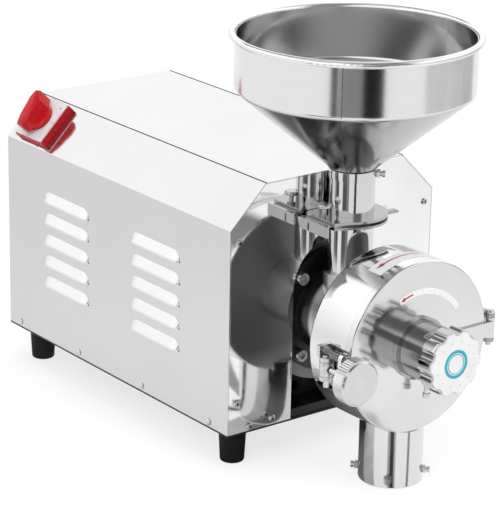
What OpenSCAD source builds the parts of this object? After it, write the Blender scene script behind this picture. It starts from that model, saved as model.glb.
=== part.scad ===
// Electric grain mill: a sheet-steel cabinet holds the motor, and a polished
// disc-mill head with a hopper stands out of its front.
// Millimetres, +Z up. The origin is on the axis of the outlet spout, at its mouth,
// and the shaft runs along Y in the plane X = 0, with the cabinet on +Y.
// Inside the modules Y is counted from the outer face of the front panel and
// Z from the bench; mill() then moves each piece to the origin.

/* [Cabinet] */
// Width of the cabinet
body_w = 270; // [258:1:324]
// Length of the cabinet, front panel to rear panel
body_l = 420; // [405:1:504]
// Height of the cabinet, base tray to roof
body_h = 269; // [255:1:323]
// Height of the bevel between side and roof
shoulder = 44; // [41:1:46]
// Thickness of the cabinet's sheet steel
sheet = 1.2; // [1:0.1:1.5]
// Thickness of the base tray
tray_t = 2; // [1.6:0.1:2.5]
// Height of the base tray's upturned lip
tray_lip = 10; // [8:0.5:14]

/* [Feet] */
// Height of the rubber feet
foot_h = 40; // [36:1:48]
// Radius of a foot at the top
foot_r = 15; // [12:0.5:18]
// Distance of a foot's centre from the cabinet's outer faces
foot_inset = 27; // [24:1:40]

/* [Louvres] */
// Length of one louvre
louvre_l = 88; // [73:1:100]
// Height of one louvre
louvre_h = 12; // [10:0.5:14]
// How far a louvre stands out
louvre_d = 5; // [4:0.5:6]
// Height between louvres
louvre_pitch = 24.7; // [20:0.1:29]
// Louvres in one group
louvre_n = 5; // [3:1:5]

/* [Shaft and drum] */
// Height of the shaft above the base tray
axis_up = 115; // [108:1:125]
// Outer radius of the drum and the lid
drum_r = 91; // [82:1:100]
// Length of the drum, rear wall to front rim
drum_l = 56.5; // [52:0.5:68]
// Wall of the drum
drum_wall = 3; // [2.5:0.5:4]
// Space between the front panel and the drum
drum_gap = 74.5; // [70:0.5:85]
// Thickness of the lid
lid_t = 8; // [7:0.5:10]
// Outer radius of the grinding burrs
burr_r = 74; // [64:1:78]
// Thickness of a grinding burr
burr_t = 8; // [6.5:0.5:8]
// Gap between the burrs at the fine setting
burr_gap = 0.6; // [0.4:0.1:1]
// Furrow groups around a burr
furrow_groups = 9; // [6:1:12]
// Radius of the shaft in the mill head
shaft_r = 12.5; // [11:0.5:13.5]

/* [Feed] */
// Outer radius of the feed tube
tube_r = 23.7; // [21:0.1:25]
// Wall of the feed tube
tube_wall = 1.6; // [1.2:0.1:2]
// Distance of the feed tube's axis from the front panel
tube_out = 27; // [26.5:0.5:36]
// Height of the feed tube between throat and slide gate
tube_low_h = 59; // [50:1:70]
// Height of the feed tube between slide gate and hopper
tube_top_h = 47; // [40:1:56]
// Length of the gate's guide along X
gate_l = 74; // [66:1:80]
// Width of the gate's guide
gate_w = 46; // [44:1:50]
// Width of the slide in the gate
slide_w = 38; // [35:1:41]

/* [Hopper] */
// Outer radius of the hopper's wall
hopper_r = 123; // [103:0.5:123.5]
// Height of the hopper's straight wall
hopper_wall_h = 55.5; // [45:0.5:66]
// Height of the hopper's cone
hopper_cone_h = 84; // [75:1:101]
// Sheet of the hopper
hopper_t = 1.5; // [1.2:0.1:2]
// Radius of the hopper's rolled rim
rim_r = 3.6; // [2.6:0.2:4]

/* [Outlet] */
// Outer radius of the outlet spout
spout_r = 33.5; // [31:0.5:35]
// Wall of the outlet spout
spout_wall = 2.4; // [2:0.2:2.8]
// Length of the seat that is turned out of the spout's mouth for a sleeve
seat_l = 30; // [24:1:35]
// Height of the spout's mouth above the bench
spout_z = 1; // [1:1:12]

/* [Hub and star knob] */
// Radius of the hub tube on the lid
hub_r = 30; // [28:0.5:33]
// Length of the hub tube
hub_l = 37; // [33:0.5:42]
// Radius of the spindle that carries the fixed burr
spindle_r = 10; // [9:0.5:11]
// Radius of the star knob over its lobes
star_r = 34.5; // [32:0.5:42]
// Depth of the star knob
star_l = 17; // [15:0.5:21]
// Lobes on the star knob
star_n = 10; // [6:1:12]
// How far the spindle can back the fixed burr off
burr_travel = 2; // [1:0.5:2.5]

/* [Hinge and clamp] */
// Radius of the hinge barrel
barrel_r = 5.8; // [5.4:0.2:6.4]
// Height of the hinge barrel
barrel_h = 22; // [18:0.5:26]
// Radius of the hinge pin and of the clamp pin
pin_r = 3; // [2.6:0.2:3.2]
// Radius of the hand knob that closes the lid
hand_r = 24; // [21:0.5:26]
// Depth of the hand knob
hand_l = 15; // [13:0.5:18]
// Radius of the clamp's threaded rod
rod_r = 3.2; // [2.8:0.2:3.6]

/* [Switch] */
// Side of the square switch frame
switch_w = 54; // [46:1:56]
// How far the switch frame stands out of the bevel
switch_h = 12; // [10:0.5:15]
// Length of the switch handle
handle_l = 37; // [32:1:44]

/* [Hidden] */

$fn = 72;
eps = 0.01;
// Running clearance of a shaft or pin in its bore, and the gap beside a sliding plate
run = 0.06;
slip = 0.3;

// Cabinet
w2 = body_w / 2;
tray_z = foot_h;
skin_z = tray_z + tray_t;
bevel_z = tray_z + body_h - shoulder;
roof_z = tray_z + body_h;
roof_w2 = w2 - shoulder;
miter = tan(22.5);
flange_w = 14;
seam = 0.8;
rear_head = 2.2;
foot_x = w2 - foot_inset;
foot_y = [foot_inset, body_l - foot_inset];

// Shaft and drum, with Y from the front panel
axis_z = tray_z + axis_up;
drum_y = -drum_gap;
rim_y = drum_y - drum_l;
face_lid_y = rim_y - lid_t;
drum_in = drum_r - drum_wall;
rear_wall = 4;
bore_r = shaft_r + 13.5;
bore_y = -5;
neck_r = bore_r + 8;
boss_r = neck_r + 12;
flange_r = 68;
flange_w2 = 56;
bolt_pcr = 60;
burr_face_y = rim_y + 31;
burr_in = bore_r + 4;
spider_t = 8;
spider_y = burr_face_y + burr_t + spider_t;
fixed_y = burr_face_y - burr_gap;
carrier_y = fixed_y - burr_t;
carrier_t = 8;
spigot_r = drum_in - 0.5;

// Hub and star knob
ring_r = hub_r + 3;
ring_t = 4;
hub_y = face_lid_y - hub_l;
knob_boss_r = hub_r - 5;
knob_boss_l = 6;
star_back = hub_y - 1;
star_y = star_back - star_l;
cap_t = 1.6;
cap_inset = 1.5;
spindle_y = star_y + 10;

// Feed
tube_y = -tube_out;
tube_in = tube_r - tube_wall;
socket_z = axis_z + neck_r + 18;
socket_d = 20;
low_z = socket_z - socket_d;
plate_t = 2.5;
gate_z = socket_z - 4 + tube_low_h;
slot_h = 3;
slide_t = slot_h - 2 * slip;
slot_z = gate_z + plate_t;
gate_top = slot_z + slot_h + plate_t;
slide_tail = 48;
gate_rim_r = tube_r + 14.3;
slide_z = slot_z + slip;
neck_z = gate_top + tube_top_h;
thumb_x = -(tube_r + 12.3);
thumb_stem = 2.5;
collar_r = tube_r + 1;
collar_h = 9;
cone_z = neck_z + hopper_cone_h;
rim_z = cone_z + hopper_wall_h;
neck_in = tube_in - 0.3;
knuckle = 7;

// Outlet
spout_y = (drum_y + rim_y) / 2;
spout_in = spout_r - spout_wall;
seat_r = spout_in + 0.8;
spout_top = axis_z - drum_r + 10;
mouth_screw_z = spout_z + 10;

// Hinge and clamp
hinge_x = drum_r + 9;
hinge_y = rim_y - lid_t / 2;
ear_t = 4;
strap_t = 3;
clamp_x = -(drum_r + 8);
clamp_y = rim_y + 17;
clamp_z = axis_z - 8;
clamp_r = 7.5;
cage_h = 15;
clamp_ear_t = 4.5;
clamp_reach = 10;
clamp_play = 1.2;
clamp_top = clamp_z + cage_h / 2 + slip + clamp_ear_t;
clamp_low = clamp_z - cage_h / 2 - slip - clamp_ear_t;
lug_t = 5;
hand_y = face_lid_y - lug_t - 8.5;
hand_ribs = 54;
stop_x = -(drum_r + 8);
stop_z = axis_z + 9.5;
stop_r = 2.5;
pad_y = clamp_y + clamp_r - 2.2;

// Switch
switch_y = body_l - 18 - switch_w / 2;
plate_inset = 1;
handle_turn = 17;
handle_h = 28;
handle_w = 10;
dial_r = 17;
stalk_r = 4;

// Motor
motor_r = 76;
motor_in = 70;
bell_y = 10;
bell_t = 12;
housing_l = 190;
housing_y = bell_y + bell_t;
rear_bell_y = housing_y + housing_l;
motor_shaft_r = 14;
bearing_r = 26;
bearing_w = 10;
fan_y = rear_bell_y + bell_t + 8;
fan_w = 22;
fan_r = 60;
fin_n = 24;

steel = "silver";
polished = "gainsboro";
dark = "dimgray";

// ---- Helpers -------------------------------------------------------------

// Moves a piece that is drawn from the front panel and the bench to the origin
module mill() {
  translate([0, -spout_y, -spout_z]) children();
}

// Turns a part drawn along +Z so that it points forwards from y
module forwards(y, x = 0, z = axis_z) {
  translate([x, y, z]) rotate([90, 0, 0]) children();
}

// Round bar along the shaft's direction between two Y values
module bar(r, y_back, y_front, x = 0, z = axis_z) {
  forwards(y_back, x, z) cylinder(r = r, h = y_back - y_front);
}

// Ring along the shaft's direction between two Y values
module ring(r, r_in, y_back, y_front, x = 0, z = axis_z) {
  difference() {
    bar(r, y_back, y_front, x, z);
    bar(r_in, y_back + 1, y_front - 1, x, z);
  }
}

// Plate with an X-Z outline, from y towards the front
module slab(y, depth) {
  translate([0, y, 0]) rotate([90, 0, 0]) linear_extrude(depth) children();
}

// Points of an arc, for profiles
function arc(c, r, a0, a1, n = 8) =
  [for (i = [0:n]) let (a = a0 + (a1 - a0) * i / n) [c[0] + r * cos(a), c[1] + r * sin(a)]];

// Screw with a domed head on +Z and its shank on -Z
module screw(head_r, head_h, shank_r, shank_l) {
  rotate_extrude() polygon(concat([[0, -shank_l], [shank_r, -shank_l], [shank_r, 0],
    [head_r, 0], [head_r, head_h * 0.4]], [[head_r * 0.72, head_h * 0.85], [0, head_h]]));
}

// Hexagonal nut or bolt head
module hex(r, h) {
  cylinder(r = r, h = h, $fn = 6);
}

// Disc with a ribbed edge
module ribbed(r, rib, n) {
  polygon([for (i = [0:2 * n - 1]) let (a = i * 180 / n, d = r - (i % 2) * rib)
    [d * cos(a), d * sin(a)]]);
}

// Outline of the cabinet's cross-section, drawn in by a given amount
module cabinet_outline(inset) {
  side = w2 - inset;
  bend = bevel_z - inset * miter;
  top = roof_z - inset;
  edge = roof_w2 - inset * miter;
  polygon([[-side, skin_z], [-side, bend], [-edge, top], [edge, top], [side, bend],
    [side, skin_z]]);
}

// ---- Cabinet -------------------------------------------------------------

module base_tray() {
  lip_t = 1.5;
  lip_x = w2 - sheet - slip;
  lip_y = sheet + slip;
  color(dark) mill() difference() {
    union() {
      translate([-w2, 0, tray_z]) cube([body_w, body_l, tray_t]);
      difference() {
        translate([-lip_x, lip_y, skin_z - eps])
          cube([2 * lip_x, body_l - 2 * lip_y, tray_lip + eps]);
        translate([-lip_x + lip_t, lip_y + lip_t, skin_z - 1])
          cube([2 * (lip_x - lip_t), body_l - 2 * (lip_y + lip_t), tray_lip + 2]);
      }
    }
    for (x = [-foot_x, foot_x], y = foot_y)
      translate([x, y, tray_z - 1]) cylinder(r = 3.2, h = tray_t + 2);
    for (x = [-w2, w2], y = side_screw_y)
      translate([x, y, screw_z]) rotate([0, 90, 0]) cylinder(r = 2.2, h = 8, center = true);
    for (p = front_screw_at) bar(2.2, 5, -5, p[0], p[1]);
    for (p = rear_screw_at) bar(2.2, body_l + 5, body_l - 5, p[0], p[1]);
  }
}

// Cross-section of one side panel: wall and bevel
module side_section() {
  polygon([[w2, skin_z], [w2, bevel_z], [roof_w2, roof_z],
    [roof_w2, roof_z - sheet * sqrt(2)], [w2 - sheet, bevel_z - sheet * miter],
    [w2 - sheet, skin_z]]);
}

// Outline of a louvre with rounded upper corners, in Y-Z
module louvre_outline(l, h, r) {
  translate([-l / 2, 0]) square([l, h - r]);
  translate([-l / 2 + r, 0]) square([l - 2 * r, h]);
  for (s = [-1, 1]) translate([s * (l / 2 - r), h - r]) circle(r = r);
}

// One pressed louvre on the right side; "hood" is the metal, otherwise the hollow
module louvre(hood) {
  in = hood ? 0 : sheet;
  low = hood ? 0 : -1;
  section = hood
    ? [[-eps, 0], [louvre_d, 0], [louvre_d, 3], [-eps, louvre_h]]
    : [[-sheet - 1, 1], [0, 1], [0, low], [louvre_d - sheet, low], [louvre_d - sheet, 2.4],
       [0, louvre_h - 1.8], [-sheet - 1, louvre_h - 1.8]];
  intersection() {
    rotate([90, 0, 0]) linear_extrude(louvre_l - 2 * in, center = true) polygon(section);
    translate([-sheet - 2, 0, low]) rotate([90, 0, 90])
      linear_extrude(louvre_d + sheet + 4)
        louvre_outline(louvre_l - 2 * in, louvre_h - in - low, 7 - in);
  }
}

// Places the louvres of both groups
module at_louvres() {
  group_y = [body_l * 0.31, body_l * 0.715];
  for (y = group_y, i = [0:louvre_n - 1])
    translate([w2, y, skin_z + 67 + i * louvre_pitch]) children();
}

side_screw_y = [33, body_l * 0.369, body_l * 0.66, body_l - 22];
screw_z = skin_z + 5;

module side_panel() {
  difference() {
    union() {
      slab(body_l, body_l) side_section();
      translate([roof_w2 - flange_w, 2 * sheet, roof_z - 2 * sheet])
        cube([flange_w + sheet, body_l - 4 * sheet, sheet]);
      for (y = [sheet + eps, body_l - 2 * sheet - eps])
        translate([w2 - 12, y, skin_z + tray_lip + 2])
          cube([12 - sheet / 2, sheet, bevel_z - skin_z - tray_lip - 6]);
      at_louvres() louvre(true);
    }
    at_louvres() louvre(false);
    for (p = front_screw_at) bar(2.2, 5, -5, p[0], p[1]);
    for (p = rear_screw_at) bar(2.2, body_l + 5, body_l - 5, p[0], p[1]);
    for (y = side_screw_y)
      translate([w2, y, screw_z]) rotate([0, 90, 0]) cylinder(r = 2.2, h = 8, center = true);
  }
}

// Frame of the switch: +Z stands out of the left bevel, +X runs up it
module at_switch() {
  translate([-w2 + shoulder / 2, switch_y, bevel_z + shoulder / 2]) rotate([0, -45, 0])
    children();
}

module left_side_panel() {
  color(steel) mill() difference() {
    mirror([1, 0, 0]) side_panel();
    at_switch() translate([0, 0, -5]) cylinder(r = dial_r - 2, h = 10);
  }
}

module right_side_panel() {
  color(steel) mill() side_panel();
}

module top_panel() {
  color(steel) mill() {
    translate([-roof_w2 + seam, 0, roof_z - sheet])
      cube([2 * (roof_w2 - seam), body_l, sheet]);
    for (y = [3 * sheet, body_l - 4 * sheet])
      translate([-roof_w2 + flange_w + 2, y, roof_z - sheet - 9])
        cube([2 * (roof_w2 - flange_w - 2), sheet, 9 + eps]);
  }
}

arch_w2 = 52;
arch_z = axis_z + 29;

module front_panel() {
  color(polished) mill() difference() {
    slab(sheet, sheet) cabinet_outline(sheet + 0.1);
    slab(sheet + 1, sheet + 2) {
      translate([-arch_w2, 0]) square([2 * arch_w2, arch_z]);
      translate([0, arch_z]) circle(r = arch_w2);
    }
    for (p = front_screw_at) bar(2.2, 5, -5, p[0], p[1]);
  }
}

front_screw_at = [for (s = [-1, 1], p = [[w2 - 11, tray_z + 36], [w2 - 28, tray_z + 7],
  [w2 - 58, tray_z + 9], [w2 - 11, bevel_z - 14]]) [s * p[0], p[1]]];
rear_screw_at = [for (s = [-1, 1], z = [tray_z + 8, tray_z + 120, bevel_z - 14])
  [s * (w2 - 11), z]];
gland_x = 62;
gland_z = tray_z + 42;
gland_r = 8;

module rear_panel() {
  slot_n = 7;
  slot_l = 54;
  slot_w = 4.5;
  color(steel) mill() difference() {
    slab(body_l, sheet) cabinet_outline(sheet + 0.1);
    for (x = [-40, 40], i = [0:slot_n - 1])
      translate([0, body_l + 1, axis_z - 30 + i * 12]) rotate([90, 0, 0])
        linear_extrude(sheet + 2) {
          translate([x - slot_l / 2, -slot_w / 2]) square([slot_l, slot_w]);
          for (s = [-1, 1]) translate([x + s * slot_l / 2, 0]) circle(r = slot_w / 2);
        }
    for (p = rear_screw_at) bar(2.2, body_l + 5, body_l - 5, p[0], p[1]);
    bar(gland_r + run, body_l + 5, body_l - 5, gland_x, gland_z);
  }
}

module rubber_feet() {
  base = foot_r * 0.87;
  well = 6;
  color("black") mill() for (x = [-foot_x, foot_x], y = foot_y) translate([x, y, 0])
    difference() {
      rotate_extrude() polygon(concat([[0, 0]], arc([base - 2.5, 2.5], 2.5, -90, 0),
        [[foot_r, foot_h], [0, foot_h]]));
      translate([0, 0, -1]) cylinder(r = 3.2, h = foot_h + 2);
      translate([0, 0, -1]) cylinder(r = well, h = foot_h - 11);
    }
}

module foot_screws() {
  color(steel) mill() for (x = [-foot_x, foot_x], y = foot_y) translate([x, y, foot_h - 12]) {
    rotate([180, 0, 0]) screw(5.4, 3, 2.9, 22);
    translate([0, 0, 12 + tray_t]) difference() {
      hex(5.8, 4.5);
      translate([0, 0, -1]) cylinder(r = 2.9, h = 7);
    }
  }
}

module panel_screws() {
  color(steel) mill() {
    for (y = side_screw_y) {
      translate([w2, y, screw_z]) rotate([0, 90, 0]) screw(3.8, 2.2, 2, 4.5);
      translate([-w2, y, screw_z]) rotate([0, -90, 0]) screw(3.8, 2.2, 2, 4.5);
    }
    for (p = front_screw_at) forwards(0, p[0], p[1]) screw(3.8, 2.2, 2, 2.3);
    for (p = rear_screw_at)
      translate([p[0], body_l, p[1]]) rotate([-90, 0, 0]) screw(3.8, rear_head, 2, 2.3);
  }
}

module cable_gland() {
  color("black") mill() difference() {
    union() {
      bar(gland_r, body_l - sheet, body_l - sheet - 12, gland_x, gland_z);
      bar(gland_r, body_l - sheet / 2, body_l - sheet - 1, gland_x, gland_z);
      translate([gland_x, body_l - sheet - 1, gland_z]) rotate([90, 0, 0]) hex(12, 4);
      bar(gland_r, body_l + rear_head, body_l - sheet - 1, gland_x, gland_z);
    }
    bar(3.6, body_l + 5, body_l - 30, gland_x, gland_z);
  }
}

// ---- Switch --------------------------------------------------------------

module switch_frame() {
  s = switch_w / 2;
  color("crimson") mill() at_switch() difference() {
    union() {
      translate([-s, -s, 0]) cube([switch_w, switch_w, switch_h]);
      translate([0, 0, -6]) cylinder(r = dial_r - 2.2, h = 7);
    }
    translate([-s + plate_inset, -s + plate_inset, switch_h - 1.2])
      cube([switch_w - 2 * plate_inset, switch_w - 2 * plate_inset, 5]);
    translate([0, 0, -7]) cylinder(r = stalk_r + 1, h = 30);
    rib_n = 11;
    for (i = [0:rib_n - 1]) translate([-s + 4 + i * (switch_w - 8) / (rib_n - 1), -s, -1])
      cylinder(r = 0.9, h = switch_h - 2);
  }
}

module switch_plate() {
  s = switch_w / 2 - plate_inset - 0.1;
  color("white") mill() at_switch() translate([0, 0, switch_h - 1.2]) difference() {
    translate([-s, -s, 0]) cube([2 * s, 2 * s, 1.8]);
    translate([0, 0, -1]) cylinder(r = stalk_r + 1, h = 4);
  }
}

module switch_knob() {
  base = switch_h + 0.6 + slip;
  tip = base + handle_h;
  color("crimson") mill() at_switch() rotate(handle_turn) {
    translate([0, 0, base]) rotate_extrude()
      polygon([[0, 0], [dial_r, 0], [dial_r, 5], [dial_r - 3, 8], [0, 8]]);
    hull() {
      translate([-dial_r + 2, -handle_w * 0.9, base + 6])
        cube([2 * dial_r - 4, handle_w * 1.8, 1]);
      translate([-handle_l / 2, -handle_w / 2, base + 14]) cube([handle_l, handle_w, 3]);
      translate([-handle_l / 2 + 3, -handle_w / 2 + 1, tip - 1])
        cube([handle_l - 6, handle_w - 2, 1]);
    }
    translate([0, 0, -22]) cylinder(r = stalk_r, h = base + 23);
  }
}

module switch_body() {
  side = 40;
  color("gray") mill() at_switch() difference() {
    translate([-side / 2, -side / 2, -44]) cube([side, side, 38]);
    translate([0, 0, -30]) cylinder(r = stalk_r + run, h = 40);
  }
}

// ---- Motor ---------------------------------------------------------------

module motor_housing() {
  fin_h = 4;
  color("lightgray") mill() forwards(rear_bell_y) difference() {
    linear_extrude(housing_l) {
      circle(r = motor_r);
      for (i = [0:fin_n - 1]) rotate(i * 360 / fin_n)
        translate([motor_r - 1, -1.25]) square([fin_h + 1, 2.5]);
    }
    translate([0, 0, -1]) cylinder(r = motor_in, h = housing_l + 2);
  }
}

core_y = housing_y + 155;
core_l = 125;
rotor_r = 41.5;

module stator_core() {
  color("slategray") mill() ring(motor_in - 0.05, rotor_r + 0.6, core_y, core_y - core_l);
}

module stator_windings() {
  color("peru") mill() for (y = [core_y + 16, core_y - core_l])
    ring(motor_in - 6, rotor_r + 3, y, y - 16);
}

module motor_front_bell() {
  color(dark) mill() difference() {
    union() {
      ring(motor_r + 4, motor_shaft_r + 4, housing_y, bell_y);
      ring(motor_in - 0.1, bearing_r, housing_y + 5, housing_y - eps);
      ring(bearing_r + 5, bearing_r, housing_y + bearing_w + 2, housing_y - eps);
    }
    bar(bearing_r, housing_y + 20, housing_y - 1);
    for (a = bolt_angles) bar(4.2, 40, 0, bolt_pcr * cos(a), axis_z + bolt_pcr * sin(a));
  }
}

bolt_angles = [45, 135, 225, 315];

module motor_rear_bell() {
  y = rear_bell_y;
  color(dark) mill() {
    ring(motor_r + 4, motor_shaft_r - 1, y + bell_t, y);
    ring(bearing_r + 5, bearing_r, y + eps, y - bearing_w - 1);
  }
}

module motor_bearings() {
  color("lightsteelblue") mill() {
    ring(bearing_r - run, motor_shaft_r + run, housing_y + bearing_w, housing_y);
    ring(bearing_r - run, motor_shaft_r + run, rear_bell_y - 0.5,
      rear_bell_y - 0.5 - bearing_w);
  }
}

module rotor() {
  color("slategray") mill() ring(rotor_r, motor_shaft_r + 0.02, core_y - 2,
    core_y - core_l + 2);
}

module drive_shaft() {
  tail_r = motor_shaft_r - 3;
  color("lightgray") mill() {
    bar(tail_r, fan_y + fan_w + 4, rear_bell_y - 1);
    bar(motor_shaft_r, rear_bell_y, bell_y + 2);
    bar(shaft_r, bell_y + 3, spider_y - 1);
    bar(shaft_r - 4, spider_y, burr_face_y + 0.6);
  }
}

module cooling_fan() {
  blades = 7;
  hub = 17;
  color("black") mill() forwards(fan_y + fan_w) difference() {
    union() {
      cylinder(r = hub, h = fan_w);
      cylinder(r = fan_r, h = 2.5);
      for (i = [0:blades - 1]) rotate(i * 360 / blades)
        translate([hub - 4, -1, 1]) cube([fan_r - hub + 1, 2, fan_w - 2]);
    }
    translate([0, 0, -1]) cylinder(r = motor_shaft_r - 3 + 0.02, h = fan_w + 2);
  }
}

module fan_cover() {
  back = fan_y + fan_w + 12;
  front = rear_bell_y + bell_t;
  wall = 1.2;
  color(dark) mill() difference() {
    bar(motor_r + 4, back, front);
    bar(motor_r + 4 - wall, back - wall, front - 1);
    for (i = [0:11], r = [32, 48]) {
      a = i * 30;
      bar(5, back + 1, back - 5, r * cos(a), axis_z + r * sin(a));
    }
  }
}

cradle_y = [housing_y + 40, housing_y + 150];
cradle_l = 22;

module motor_cradle() {
  half = 62;
  color(dark) mill() for (y = cradle_y) difference() {
    translate([-half, y - cradle_l / 2, skin_z]) cube([2 * half, cradle_l, 52]);
    bar(motor_r + 4.1, y + cradle_l, y - cradle_l);
    for (x = [-half + 20, 3])
      translate([x, y - cradle_l, skin_z + 6]) cube([half - 23, 2 * cradle_l, 10]);
    for (s = [-1, 1]) {
      translate([s * (half - 9), y, skin_z - 1]) cylinder(r = 3.2, h = 60);
      translate([s * (half - 9), y, skin_z + 10]) cylinder(r = 7, h = 60);
    }
  }
}

module motor_bolts() {
  color("lightgray") mill() {
    for (a = bolt_angles) forwards(2, bolt_pcr * cos(a), axis_z + bolt_pcr * sin(a)) {
      difference() {
        cylinder(r = 6.5, h = 8);
        translate([0, 0, 4]) hex(3.6, 5);
      }
      translate([0, 0, -housing_y + 3]) cylinder(r = 4, h = housing_y - 3 + eps);
    }
    for (y = cradle_y, s = [-1, 1]) translate([s * 53, y, skin_z]) {
      cylinder(r = 3, h = 11);
      translate([0, 0, 10 + 2 * eps]) hex(5.6, 4);
    }
  }
}

module run_capacitors() {
  can_r = 21;
  color("whitesmoke") mill() for (x = [-w2 + sheet + 36, w2 - sheet - 36]) {
    bar(can_r, body_l - 40, body_l - 128, x, skin_z + can_r + 2);
    translate([x - 10, body_l - 100, skin_z]) cube([20, 30, 4]);
  }
}

// ---- Mill head -----------------------------------------------------------

seal_r = shaft_r + 7;

module throat_housing() {
  back = bell_y;
  color(dark) mill() difference() {
    union() {
      intersection() {
        bar(flange_r, back, 2);
        translate([-flange_w2, 0, 0]) cube([2 * flange_w2, 2 * back, 2 * axis_z]);
      }
      bar(boss_r, 3, -16);
      boss_cone();
      bar(neck_r, -15, drum_y);
      translate([0, tube_y, axis_z]) cylinder(r = tube_r + 4.5, h = socket_z - axis_z);
    }
    bar(bore_r, bore_y, drum_y - 1);
    bar(shaft_r + 1, back + 1, bore_y - 1);
    bar(seal_r, back + 1, -2);
    translate([0, tube_y, axis_z]) cylinder(r = tube_in, h = socket_z);
    translate([0, tube_y, low_z]) cylinder(r = tube_r + 0.05, h = socket_z);
    for (a = bolt_angles) bar(4.2, 40, 0, bolt_pcr * cos(a), axis_z + bolt_pcr * sin(a));
  }
}

// Cone between the boss and the neck of the throat
module boss_cone() {
  forwards(-16 + eps) cylinder(r1 = boss_r, r2 = neck_r, h = 10);
}

module shaft_seal() {
  color("saddlebrown") mill() ring(seal_r - 0.02, shaft_r + run, bell_y - 0.5, -1.5);
}

module auger() {
  back = bore_y - 1;
  front = spider_y + 1;
  sleeve = shaft_r + 2.5;
  turns = 1.75;
  color("lightgray") mill() {
    ring(sleeve, shaft_r + 0.02, back, front);
    forwards(back) linear_extrude(back - front, twist = -360 * turns, slices = 70)
      translate([sleeve - 1, -2]) square([bore_r - 0.8 - sleeve + 1, 4]);
  }
}

module drum() {
  slot_x = 21;
  color(polished) mill() difference() {
    forwards(drum_y) rotate_extrude() polygon(concat([[0, 0]],
      arc([drum_r - 4, 4], 4, -90, 0), [[drum_r, drum_l], [0, drum_l]]));
    bar(drum_in, drum_y - rear_wall, rim_y - 1);
    bar(bore_r, drum_y + 1, rim_y);
    translate([-slot_x, rim_y + 5, axis_z - drum_r - 1])
      cube([2 * slot_x, drum_l - rear_wall - 6, 22]);
  }
}

module outlet_spout() {
  color(polished) mill() difference() {
    translate([0, spout_y, spout_z]) difference() {
      cylinder(r = spout_r, h = spout_top - spout_z);
      translate([0, 0, -1]) cylinder(r = spout_in, h = spout_top - spout_z + 2);
      translate([0, 0, -1]) cylinder(r = seat_r, h = seat_l + 1);
    }
    bar(drum_r, drum_y, rim_y);
    bar(drum_r + 1.6, rim_y + eps, rim_y - 20);
    for (a = bolt_angles) translate([0, spout_y, mouth_screw_z]) rotate([0, 90, a])
      cylinder(r = 2.7, h = spout_r + 5);
  }
}

module spout_screws() {
  color(steel) mill() for (a = bolt_angles) translate([0, spout_y, mouth_screw_z])
    rotate([0, 90, a]) {
      translate([0, 0, seat_r + 0.1]) cylinder(r = 2.6, h = spout_r - seat_r + 6);
      translate([0, 0, spout_r + 0.05]) hex(4.6, 3.4);
      translate([0, 0, spout_r + 5]) cylinder(r = 3.4, h = 2.6);
    }
}

// ---- Feed ----------------------------------------------------------------

module feed_pipe(z0, z1) {
  translate([0, tube_y, z0]) difference() {
    cylinder(r = tube_r, h = z1 - z0);
    translate([0, 0, -1]) cylinder(r = tube_in, h = z1 - z0 + 2);
  }
}

module lower_feed_tube() {
  color(polished) mill() feed_pipe(low_z, gate_z);
}

// Outline of the gate's plates: a round flange with a straight mouth, cut off
// straight beside the cabinet
module gate_outline() {
  mouth = [-gate_l / 2 - 4, gate_w / 2];
  reach = norm(mouth);
  turn = atan2(mouth[1], mouth[0]) - acos(gate_rim_r / reach);
  touch = [gate_rim_r * cos(turn), gate_rim_r * sin(turn)];
  back = tube_out - 1;
  intersection() {
    union() {
      circle(r = gate_rim_r);
      polygon([mouth, touch, [touch[0], -touch[1]], [mouth[0], -mouth[1]]]);
    }
    translate([-gate_l, -gate_l]) square([2 * gate_l, gate_l + back]);
  }
}

module gate_housing() {
  rail = (gate_w - slide_w) / 2 - slip;
  color(polished) mill() difference() {
    union() {
      for (z = [gate_z, gate_top - plate_t]) translate([0, tube_y, z])
        linear_extrude(plate_t) gate_outline();
      for (s = [-1, 1]) translate([-gate_l / 2 - 4,
        tube_y + s * (gate_w - rail) / 2 - rail / 2, slot_z - eps])
        cube([gate_l / 2 + 12, rail, slot_h + 2 * eps]);
      translate([thumb_x, tube_y, gate_top - eps]) cylinder(r = 4.6, h = 3);
    }
    translate([0, tube_y, gate_z - 1]) cylinder(r = tube_in, h = 20);
    translate([thumb_x, tube_y, slot_z + 1]) cylinder(r = thumb_stem + run, h = 20);
  }
}

module gate_slide() {
  back = slide_tail;
  blade_x = tube_in + 4;
  strip_w = 9;
  grip_x = -gate_l / 2 - 10.5;
  grip_h = 12;
  grip_w = slide_w + 7;
  color(polished) mill() difference() {
    union() {
      translate([grip_x, tube_y - slide_w / 2, slide_z])
        cube([blade_x - grip_x, slide_w, slide_t]);
      translate([blade_x - 1, tube_y - slide_w / 2, slide_z])
        cube([back - blade_x + 1, strip_w, slide_t]);
      translate([grip_x - slide_t, tube_y - grip_w / 2, slide_z + slide_t - grip_h])
        cube([slide_t + eps, grip_w, grip_h]);
    }
    translate([grip_x - 5, tube_y + slide_w / 2 - 12, slide_z - 8.5]) cube([10, 2.4, 8]);
    for (i = [0:4]) translate([back - 2.4 - i * 3.6, tube_y - slide_w / 2 - 1, slide_z + 1.6])
      cube([0.8, i % 2 ? 4 : 6, 3]);
  }
}

module gate_thumb_screw() {
  low = slide_z + slide_t + 0.1;
  head_z = gate_top + 10;
  head_r = 7.5;
  head_h = 4.5;
  edge = 1.4;
  color(steel) mill() translate([thumb_x, tube_y, 0]) {
    translate([0, 0, low]) cylinder(r = thumb_stem, h = head_z - low + 1);
    translate([0, 0, head_z]) rotate_extrude() polygon(concat([[0, 0]],
      arc([head_r - edge, edge], edge, -90, 0),
      arc([head_r - edge, head_h - edge], edge, 0, 90), [[0, head_h]]));
  }
}

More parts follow.
